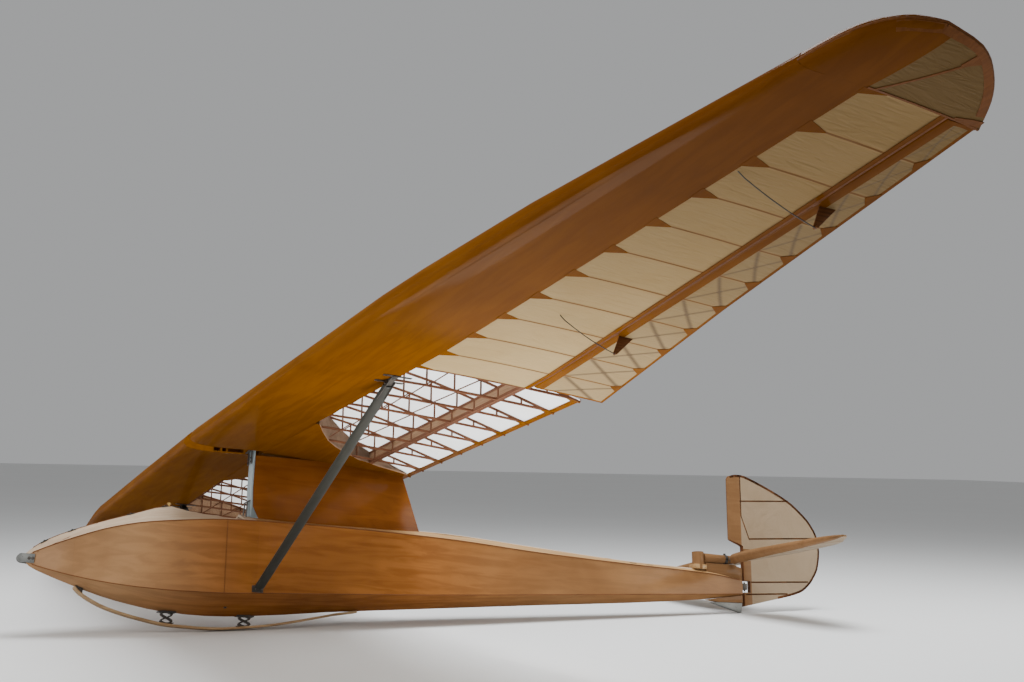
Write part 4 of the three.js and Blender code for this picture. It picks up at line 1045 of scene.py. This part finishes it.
def root_ply(label, side):
    """Ply above and below the upper skin at the root; its edge mirrors the fillet under the wing"""
    def sheet(lift):
        def shape(u, v):
            y = ROOT + (FILLET[-1][0] - ROOT) * u
            first = straight(PLY_EDGE, y) - 0.012
            x = first + (curved(FILLET, y) - first) * v
            return Vector((x, side * y, height(y, x, UPPER) + lift))

        return thicken(grid(40, 24, shape), 0.0012 * side)

    def web(u, v):
        x, y, z = curve[round(24 * u)]
        return Vector((x, y, z + 0.002 + v * (height(abs(y), x, UPPER) - z - 0.014)))

    ys = (FILLET[0][0] + (FILLET[-1][0] - FILLET[0][0]) * (n / 24) ** 1.5 for n in range(25))
    curve = [(x, side * y, height(y, x, LOWER) + 0.001) for x, y in ((curved(FILLET, y), y) for y in ys)]
    return [piece(f"fillet_web_{label}", thicken(grid(24, 2, web), 0.002), BARE_PLY),
            piece(f"root_ply_{label}", sheet(-0.0068), BARE_PLY),
            piece(f"root_cover_{label}", sheet(0.0020), WING_PLY),
            piece(f"fillet_edge_{label}", tube(curve, 0.0040, 8), SPAR_WOOD)]


def spar_trim(label, side):
    """Flange strips and posts on both faces of the rear spar, and a strip over the fillet's front seam"""
    def on_spar(x, y, skin, lift):
        return x, side * y, height(y, x, skin) + lift

    parts, ends = [], (ROOT + 0.004, CLOTH_START - 0.004)
    for x in (INNER_SPAR + SPAR_FACE, INNER_SPAR - SPAR_FACE):
        parts.append(bar(*(on_spar(x, y, LOWER, 0.0085) for y in ends), 0.004, 0.017))
        parts.append(bar(*(on_spar(x, y, UPPER, -0.0150) for y in ends), 0.004, 0.015))
        for y in (rib * RIB + 0.014 for rib in range(1, FIRST_CLOTH_RIB)):
            parts.append(bar(on_spar(x, y, LOWER, 0.014), on_spar(x, y, UPPER, -0.020), 0.013, 0.005,
                             facing=(1, 0, 0)))
    seam = band(ROOT, 0.99, lambda y: straight(PLY_EDGE, y) + 0.010, lambda y: straight(PLY_EDGE, y) - 0.012,
                LOWER, side, 0.0003, 0.0006, 24)
    return [piece(f"spar_trim_{label}", merged(parts), RIB_WOOD),
            piece(f"fillet_seam_{label}", seam, WING_PLY)]


for label, side in SIDES:
    print([made.name for made in (open_bays(label, side), lattice(label), lattice_corners(label, side))])
    print([made.name for made in root_ply(label, side) + spar_trim(label, side)])

# %% [markdown]
# The fuselage is a six-sided boat of thin ply. Its planks are separate solids already; welding them
# and giving them grain along the body is enough, and the smaller parts get edges rounded by a few
# millimetres. The deck is paler than the sides, and the aft deck lies between the two.

# %% Fuselage
POST_BASE_TOP = -0.4945
AFT_DECK_PLY = plywood("aft_deck_ply", (0.42, 0.255, 0.115), (0.31, 0.17, 0.065), 0.4, "x", 0.25, 0.3)
for node in ("nose_block", "fuselage_bottom", "fuselage_side_port", "fuselage_side_starboard"):
    dressed(node, HULL_PLY)
for node in ("nose_deck", "cockpit_rim"):
    dressed(node, DECK_PLY, angle=40)
rear = dressed("fuselage_rear", [HULL_PLY, AFT_DECK_PLY], angle=35)
for face in rear.data.polygons:
    face.material_index = 1 if (turn.transposed() @ face.normal).z > 0.6 else 0
for node in ("stern_fin", "tailplane_fairing", "tail_skid"):
    dressed(node, TAIL_PLY, soften=0.0025, angle=40)
post = dressed("tailplane_post", [TAIL_PLY, AFT_DECK_PLY], soften=0.0025, angle=40)
for face in post.data.polygons:
    face.material_index = 1 if (GLIDER.inverted() @ face.center).z < POST_BASE_TOP else 0
dressed("pylon", PYLON_PLY, soften=0.004, angle=50)
for node, finish, soft in (
        ("pylon_front_post", POST_PAINT, 0.003), ("main_skid", SKID_WOOD, 0.003),
        ("nose_hook", PALE_STEEL, 0.0015), ("skid_front_bracket", DARK_STEEL, 0.003),
        ("skid_mount_front", DARK_STEEL, 0.0012), ("skid_mount_rear", DARK_STEEL, 0.0012),
        ("tail_skid_plate", PALE_STEEL, 0.002), ("cockpit_floor", DECK_PLY, 0.001),
        ("cockpit_seat", BARE_PLY, 0.004), ("seat_riser", DECK_PLY, 0.001),
        ("instrument_panel", PANEL_PAINT, 0.002), ("control_stick", DARK_STEEL, 0.0012),
        ("rudder_bar", SKID_WOOD, 0.003), ("rudder_hinge", DARK_STEEL, 0.0015)):
    dressed(node, finish, soften=soft, angle=40)
for label, side in SIDES:
    dressed(f"strut_{label}", STRUT_PAINT, angle=35)
    dressed(f"strut_foot_{label}", DARK_STEEL, soften=0.002, angle=40)
    dressed(f"strut_head_{label}", DARK_STEEL, soften=0.002, angle=40)
print("fuselage, skids, pylon and struts dressed")

# %% [markdown]
# The fuselage's own lines are the keel, the chine, the rail and the ridge, with the chine's and the
# rail's distance from the middle. Dark strips cover the joints of the ply along the rail and the
# chine, and small fittings sit on the ridge, at the nose, at the struts' feet and under the keel.

# %% Hull lines and seams
HULL = (  # x, keel, chine, chine's distance out, rail, rail's distance out, ridge
    (1.425, -0.792, -0.789, 0.006, -0.781, 0.005, -0.778),
    (1.385, -0.835, -0.822, 0.028, -0.760, 0.024, -0.735),
    (1.290, -0.876, -0.853, 0.072, -0.716, 0.062, -0.668),
    (1.150, -0.925, -0.888, 0.120, -0.658, 0.108, -0.601),
    (0.960, -0.985, -0.922, 0.172, -0.592, 0.160, -0.527),
    (0.760, -1.030, -0.943, 0.215, -0.548, 0.203, -0.458),
    (0.560, -1.060, -0.954, 0.247, -0.524, 0.234, -0.400),
    (0.300, -1.072, -0.955, 0.270, -0.500, 0.252, -0.395),
    (0.060, -1.062, -0.944, 0.275, -0.490, 0.252, -0.425),
    (-0.500, -1.005, -0.915, 0.262, -0.485, 0.236, -0.432),
    (-1.200, -0.945, -0.874, 0.218, -0.492, 0.192, -0.425),
    (-2.040, -0.873, -0.815, 0.155, -0.528, 0.134, -0.468),
    (-2.800, -0.812, -0.762, 0.105, -0.548, 0.088, -0.512),
    (-3.450, -0.748, -0.716, 0.060, -0.560, 0.050, -0.530),
    (-3.785, -0.700, -0.690, 0.022, -0.590, 0.020, -0.575))
KEEL, CHINE, CHINE_OUT, RAIL, RAIL_OUT, RIDGE = (
    [(row[0], row[column]) for row in reversed(HULL)] for column in range(1, 7))


HATCH = ((1.349, 0.038, -0.7545), (1.267, 0.065, -0.704), (1.185, 0.072, -0.659), (1.090, 0.040, -0.600),
         (1.004, 0.004, -0.5465))
SCARF = 0.26


def on_hull(x, side, line, out, off):
    """A point just outside a line of the hull"""
    return Vector((x, side * (curved(out, x) + off), curved(line, x)))


def on_deck(x, y, lift, slope_at=None):
    """A point of the deck, whose slope is read there or at another place along it"""
    at = x if slope_at is None else slope_at
    slope = (curved(RIDGE, at) - curved(RAIL, at)) / curved(RAIL_OUT, at)
    return Vector((x, y, curved(RIDGE, x) - slope * abs(y) + lift))


def hull_seams():
    """Strips along both rails and chines, the scarf joint of each side, the ridge and a hatch's edge"""
    parts, xs = [], spaced(1.375, -3.76, 70)
    for side in (1, -1):
        for line, out, radius in ((RAIL, RAIL_OUT, 0.0034), (CHINE, CHINE_OUT, 0.0028)):
            parts.append(tube([on_hull(x, side, line, out, 0.0006) for x in xs], radius, 6))
        parts.append(bar(on_hull(SCARF, side, RAIL, RAIL_OUT, 0.0008),
                         on_hull(SCARF, side, CHINE, CHINE_OUT, 0.0008), 0.0022, 0.0022, facing=(0, 1, 0)))
    ridge = [on_deck(x, 0, 0.0006) for x in spaced(1.37, 0.62, 20)]
    parts += [tube(ridge, 0.0026, 6), tube(HATCH, 0.0026, 6)]
    return piece("hull_seams", merged(parts), EDGE_WOOD, slot="honey_ply")


def ridge_strip():
    """Pale strip over the aft deck's ridge, with two black bars beside it as the painted shade of two slots
    """
    start, end, wide, beside, half = -1.12, -3.34, 0.032, 0.042, 0.028
    sheet = grid(40, 2, lambda u, v: on_deck(start + (end - start) * u, wide * (v - 0.5), 0.0012))
    # Two black bars paint the shade inside two slots beside the ridge.
    slot_shadows = [bar(*(on_deck(x + dx, beside, 0.0008, x) for dx in (-half, half)), 0.011, 0.0018)
             for x in (-2.81, -2.95)]
    piece("aft_ridge_strip", thicken(sheet, 0.002), DECK_PLY)
    return piece("aft_deck_slot_shadows", merged(slot_shadows), PANEL_PAINT)


def hull_fittings():
    """Latches on the ridge, bolts at the nose and the skid bracket, and the strut foot plates"""
    latches, dark, half_pin = [], [], Vector((0, 0.014, 0))
    for x in (1.31, 1.154, 0.808, 0.598):
        ends = [on_deck(x + dx, 0, 0.001) for dx in (-0.022, 0.022)]
        middle = (ends[0] + ends[1]) / 2 + Vector((0, 0, 0.003))
        latches += [flat_bar(*ends, 0.020, 0.005), bar(middle - half_pin, middle + half_pin, 0.009, sides=12)]
    foot_at, plate_half = 0.052, Vector((0.036, 0, 0))
    for side in (1, -1):
        for x, y in ((1.392, 0.0355), (1.372, 0.0420)):
            latches += bolt((x, side * y, -0.792), (0.3, side, 0), 0.011)
        foot = Vector((foot_at, side * (curved(CHINE_OUT, foot_at) + 0.001), -0.918))
        dark.append(flat_bar(foot - plate_half, foot + plate_half, 0.006, 0.042))
        for dx, dz in ((-0.028, 0.013), (0.028, 0.013), (-0.028, -0.013), (0.028, -0.013)):
            dark += bolt(foot + Vector((dx, side * 0.003, dz)), (0, side, 0), 0.008)
        pin = [foot + Vector((dx, side * 0.012, 0.016)) for dx in (-0.016, 0.016)]
        dark += [bar(*pin, 0.018, sides=16)] + bolt((1.084, side * 0.025, -0.965), (0, side, 0))
        dark += bolt((0.203, side * 0.108, -1.022), (0, side * 0.4, -1))
    low, middle, high = (Vector((0.575, 0, curved(RIDGE, 0.575) + dz)) for dz in (-0.002, 0.012, 0.020))
    knob = [bar(low, middle, 0.009, sides=12),
            bar(middle - Vector((0, 0, 0.001)), high, 0.020, sides=20, end_scale=0.7)]
    piece("latch_knob", merged(knob), BRASS, angle=50)
    piece("hull_dark_fittings", merged(dark), DARK_STEEL)
    return piece("hull_latches", merged(latches), DARK_STEEL)


def spring_twins():
    """Each skid spring is a pair of curls: the second is the first turned about, between two plates"""
    for node, x in (("skid_mount_front", 0.540), ("skid_mount_rear", 0.045)):
        bm = bmesh.new()
        bm.from_mesh(frame["nodes"][node].data)
        there, about = Matrix.Translation((x, 0, 0)), Matrix.Diagonal((-1, 0.96, 1, 1))
        bmesh.ops.transform(bm, matrix=GLIDER.inverted(), verts=bm.verts)
        bmesh.ops.remove_doubles(bm, verts=bm.verts, dist=WELD)
        bmesh.ops.transform(bm, matrix=there @ about @ there.inverted(), verts=bm.verts)
        bmesh.ops.reverse_faces(bm, faces=bm.faces)
        low, keel = min(v.co.z for v in bm.verts), curved(KEEL, x)
        plates = [flat_bar((x - 0.055, 0, keel + 0.0005), (x + 0.055, 0, keel + 0.0005), 0.064, 0.009),
                  flat_bar((x - 0.045, 0, low + 0.006), (x + 0.045, 0, low + 0.006), 0.056, 0.005)]
        for dx in (-0.042, 0.042):
            plates += bolt((x + dx, 0.018, keel - 0.003), (0, 0, -1), 0.009)
        piece(f"{node}_twin", merged([bm] + plates), DARK_STEEL, angle=40)


hull_seams(), ridge_strip(), hull_fittings(), spring_twins()
print("seams, latches and springs")

# %% [markdown]
# The thin front post has straps and bolts at its top and spreads at its foot. Each strut ends in a
# forked strap under the wing. The panel has four round instruments, which face the seat.

# %% Post, strut heads and instruments
POST_FACE, FORWARD = 0.0600, (1, 0, 0)


def post_fittings():
    """Flares at the post's foot, and the straps, bolts and pin on its front face"""
    flares, parts = [], []
    for y in (0.0600, -0.0600):
        flare = bmesh.new()
        flare.faces.new([flare.verts.new((x, y, z)) for x, z in (
            (0.054, -0.415), (0.054, -0.360), (0.020, -0.425), (-0.004, -0.462), (0.054, -0.475))])
        flares.append(thicken(flare, 0.003))
    piece("post_foot", merged(flares), POST_PAINT)
    strap = POST_FACE + 0.010
    for y in (-0.034, 0.034):
        parts.append(flat_bar((strap, y, -0.085), (strap, y, 0.022), 0.020, 0.005, FORWARD))
        for z in (-0.070, -0.045, 0.012):
            parts += bolt((strap + 0.002, y, z), FORWARD, 0.010)
    for y in (-0.026, 0.026):
        parts.append(flat_bar((0.078, y, -0.330), (0.086, y * 1.6, -0.480), 0.026, 0.004, FORWARD))
        parts.append(flat_bar((POST_FACE, y, -0.325), (0.080, y, -0.334), 0.030, 0.006, FORWARD))
    pin = [(POST_FACE + 0.020, y, 0.002) for y in (-0.062, 0.062)]
    return piece("post_fittings", merged(parts + [bar(*pin, 0.012, sides=12)]), DARK_STEEL)


def strut_heads(label, side):
    """A forked strap on the strut's end, and the plates under the wing that hold it"""
    def under(x, y, drop):
        return Vector((x, side * y, height(y, x, LOWER) - drop))

    head, across = under(-0.042, 2.165, 0.008), Vector((1, 0, 0))
    along = (head - Vector((0.052, side * 0.262, -0.930))).normalized()
    parts = []
    for offset in (-0.022, 0.022):
        start, end = head - along * 0.150 + across * offset, head - along * 0.012 + across * offset * 0.9
        parts.append(flat_bar(start, end, 0.030, 0.005, FORWARD))
        parts += bolt(start + along * 0.030, across * offset, 0.010)
    middle = head - along * 0.030
    parts.append(bar(middle - across * 0.030, middle + across * 0.030, 0.014, sides=14))
    for y in (2.105, 2.225):
        parts.append(flat_bar(under(-0.130, y, 0.0022), under(0.030, y, 0.0022), 0.024, 0.004))
        parts += bolt(under(0.015, y, 0.003), (0, 0, -1), 0.009)
    parts.append(flat_bar(under(-0.040, 2.095, 0.006), under(-0.040, 2.235, 0.006), 0.034, 0.005))
    return piece(f"strut_head_straps_{label}", merged(parts), DARK_STEEL)


BEZEL = ((0.024, 0.0), (0.032, 0.0), (0.032, 0.006), (0.029, 0.009), (0.0255, 0.008), (0.024, 0.0))
PANEL_BACK = 0.634


def instruments():
    """Four round dials, each with a ring, a face, twelve marks and a pointer"""
    rings, faces, marks = [], [], []
    for y, z in ((-0.126, -0.545), (-0.044, -0.515), (0.044, -0.515), (0.126, -0.545)):
        rings.append(wrapped([circle((PANEL_BACK - deep, y, z), r, 40) for r, deep in BEZEL], close=False))
        faces.append(bar((PANEL_BACK + 0.001, y, z), (PANEL_BACK - 0.004, y, z), 0.050, sides=40))
        inner, outer = (circle((PANEL_BACK - 0.0044, y, z), r, 12) for r in (0.0175, 0.0225))
        marks += [bar(a, b, 0.0016, 0.0008, facing=FORWARD) for a, b in zip(inner, outer)]
        centre = (PANEL_BACK - 0.005, y, z)
        marks.append(bar(centre, circle(centre, 0.016, 1, 2 + 9 * y)[0], 0.0024, 0.001, facing=FORWARD))
    piece("dial_rings", merged(rings), PALE_STEEL, angle=50)
    piece("dial_faces", merged(faces), DIAL_FACE)
    return piece("dial_marks", merged(marks), DIAL_MARK)


post_fittings()
instruments()
for label, side in SIDES:
    strut_heads(label, side)
print("post, strut heads and instruments")

# %% [markdown]
# The tailplane's section has a round nose and a long flat taper; it is set five degrees nose down
# and turns as one piece with its cross tube. Its front is rolled ply and the rest is cloth. The
# rudder is a flat frame in a bent bow: one outline cut along the fore and aft lines, then thickened.

# %% Tail surfaces
TAILPLANE = (  # y, nose, tail, thickness
    (0.060, -3.648, -3.800, 0.078), (0.200, -3.618, -3.965, 0.075), (0.330, -3.614, -4.040, 0.070),
    (0.740, -3.648, -4.048, 0.056), (0.920, -3.668, -4.010, 0.048), (1.060, -3.692, -3.922, 0.038),
    (1.160, -3.730, -3.862, 0.024), (1.215, -3.778, -3.812, 0.010))
NOSE_AT, TAIL_AT, THICK_AT = ([(row[0], row[column]) for row in TAILPLANE] for column in range(1, 4))
TO_PIVOT = Matrix.Translation(TAIL_PIVOT)
TRIM = TO_PIVOT @ Matrix.Rotation(math.radians(5), 4, "Y") @ TO_PIVOT.inverted()
NOSE_ROLL, FRONT_POINTS = 0.080, 7


def tailplane(label, side):
    """One half of the tailplane, closed at its root and tip"""
    first, last = TAILPLANE[0][0], TAILPLANE[-1][0]
    rings, places = [], [first + (last - first) * math.sin(math.pi / 2 * n / 26) for n in range(27)]
    for y in places:
        nose, tail, half = curved(NOSE_AT, y), curved(TAIL_AT, y), curved(THICK_AT, y) / 2
        chord, rise = nose - tail, 0.55 * (TAILPLANE[0][3] / 2 - half)
        roll = min(NOSE_ROLL, chord * 0.45)
        front = [(1.1 * half * (1 - math.cos(a)), half * math.sin(a))
                 for a in (math.pi / 12 * k for k in range(FRONT_POINTS))]
        profile = [(1.1 * half, half), (0.5 * chord, 0.72 * half), (chord, 0.003)]
        sink = 0.0025 * slack(y, TAIL_RIB)
        line = front + [(roll, curved(profile, roll))]
        for share in (0.12, 0.3, 0.5, 0.7, 0.88, 1):
            back = roll + (chord - roll) * share
            line.append((back, curved(profile, back) - sink * math.sin(math.pi * share)))
        ring = line + [(b, -u) for b, u in line[:0:-1]]
        rings.append([TRIM @ Vector((nose - b, side * y, TAIL_PIVOT.z + rise + u)) for b, u in ring])
    count = len(rings[0])
    bm = wrapped(rings, uvs=lambda i, j: (places[i] / TAIL_RIB, float(min(j, count - j) > FRONT_POINTS)))
    uv = bm.loops.layers.uv.active
    for face in bm.faces:
        ply = max(loop[uv].uv.y for loop in face.loops) < 0.5 or abs(face.normal.y) > 0.9
        face.material_index = 1 if ply else 0
    made = piece(f"tailplane_cloth_{label}", bm, [TAIL_CLOTH, TAIL_PLY], "elevator", angle=45)
    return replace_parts(made, f"tailplane_{label}")


RUDDER = (
    (-3.680, 0.176), (-3.700, 0.205), (-3.749, 0.219), (-3.829, 0.219), (-4.000, 0.162), (-4.172, 0.094),
    (-4.286, 0.039), (-4.437, -0.076), (-4.516, -0.183), (-4.541, -0.317), (-4.512, -0.463),
    (-4.437, -0.570), (-4.354, -0.638), (-4.245, -0.676), (-3.802, -0.782), (-3.802, -0.678),
    (-3.858, -0.678), (-3.858, -0.590), (-3.802, -0.590), (-3.802, -0.330), (-3.784, -0.319),
    (-3.680, -0.285))
RUDDER_HALF = [(-4.545, 0.004), (-4.100, 0.017), (-3.815, 0.021), (-3.740, 0.019), (-3.692, 0.011),
               (-3.678, 0.003)]
RUDDER_CUTS = (((1, 0), (-3.692, -3.740, -3.79, -3.815, -3.87, -4.0, -4.1, -4.25, -4.4)),
               ((0, 1), (-0.35, -0.216, 0.02)))
RUDDER_BOW, RUDDER_BENT = 0.016, slice(2, -8)
RUDDER_RIBS = (((-3.786, 0.015), (-4.250, 0.056)), ((-3.858, -0.270), (-4.494, -0.216)),
               ((-3.864, -0.598), (-4.411, -0.560)), ((-3.808, -0.692), (-4.205, -0.664)))
RUDDER_CUFFS = (((-3.794, 0.204), (-3.794, -0.10)), ((-3.794, -0.10), (-3.862, -0.275)))


def rounded(line, corners):
    """A line with points added round its gentle corners"""
    points = []
    for n, at in enumerate(line):
        if n not in corners:
            points.append(Vector(at))
            continue
        before, here, after = Vector(line[n - 1]), Vector(at), Vector(line[n + 1])
        a, b = here.lerp(before, 0.3), here.lerp(after, 0.3)
        points += [a, (a + here * 2 + b) / 4, b]
    return points


def rudder():
    """The flat frame under its cloth, and the strips on both faces"""
    outline, bm = rounded(RUDDER, range(1, 14)), bmesh.new()
    bm.faces.new([bm.verts.new((p.x, 0, p.y)) for p in outline])
    for (x, z), places in RUDDER_CUTS:
        for at in places:
            bmesh.ops.bisect_plane(bm, geom=bm.verts[:] + bm.edges[:] + bm.faces[:],
                                   plane_co=(x * at, 0, z * at), plane_no=(x, 0, z))
    far = bmesh.ops.extrude_face_region(bm, geom=bm.faces[:])
    far = {g for g in far["geom"] if isinstance(g, bmesh.types.BMVert)}
    for vert in bm.verts:
        vert.co.y = straight(RUDDER_HALF, vert.co.x) * (1 if vert in far else -1)
    for face in outward(bm).faces:
        c = face.calc_center_median()
        inner = -3.79 if c.z > -0.30 else -3.87
        face.material_index = 2 if abs(face.normal.y) < 0.7 else (1 if c.x > inner else 0)
    made = piece("rudder_cloth", bm, [RUDDER_CLOTH, TAIL_PLY, EDGE_WOOD], "rudder", angle=30)
    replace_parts(made, "rudder")
    parts = []
    for side in (1, -1):
        def on_rudder(x, z):
            return Vector((x, side * (straight(RUDDER_HALF, x) + 0.0008), z))

        parts.append(edge_band([(p.x, p.y) for p in outline[RUDDER_BENT]], RUDDER_BOW, on_rudder, 0.0016))
        parts += [ribbon(*ends, (0.009, 0.009), on_rudder, 0.0014, 12, (0, 1)) for ends in RUDDER_RIBS]
        parts += [ribbon(*ends, (0.008, 0.008), on_rudder, 0.0014, 6, (-1, 0)) for ends in RUDDER_CUFFS]
    piece("rudder_ribs", merged(parts), EDGE_WOOD, "rudder")
    return made


for label, side in SIDES:
    print(tailplane(label, side).name)
print(rudder().name)
dressed("tailplane_tube", PALE_STEEL, "elevator", angle=50)
collar = [bar((-3.655, 0, -0.4392), (-3.631, 0, -0.4396), 0.067, sides=32),
          bar((-3.643, 0, -0.410), (-3.643, 0, -0.396), 0.014, sides=12)]
piece("fairing_collar", merged(collar), DARK_STEEL, angle=50)
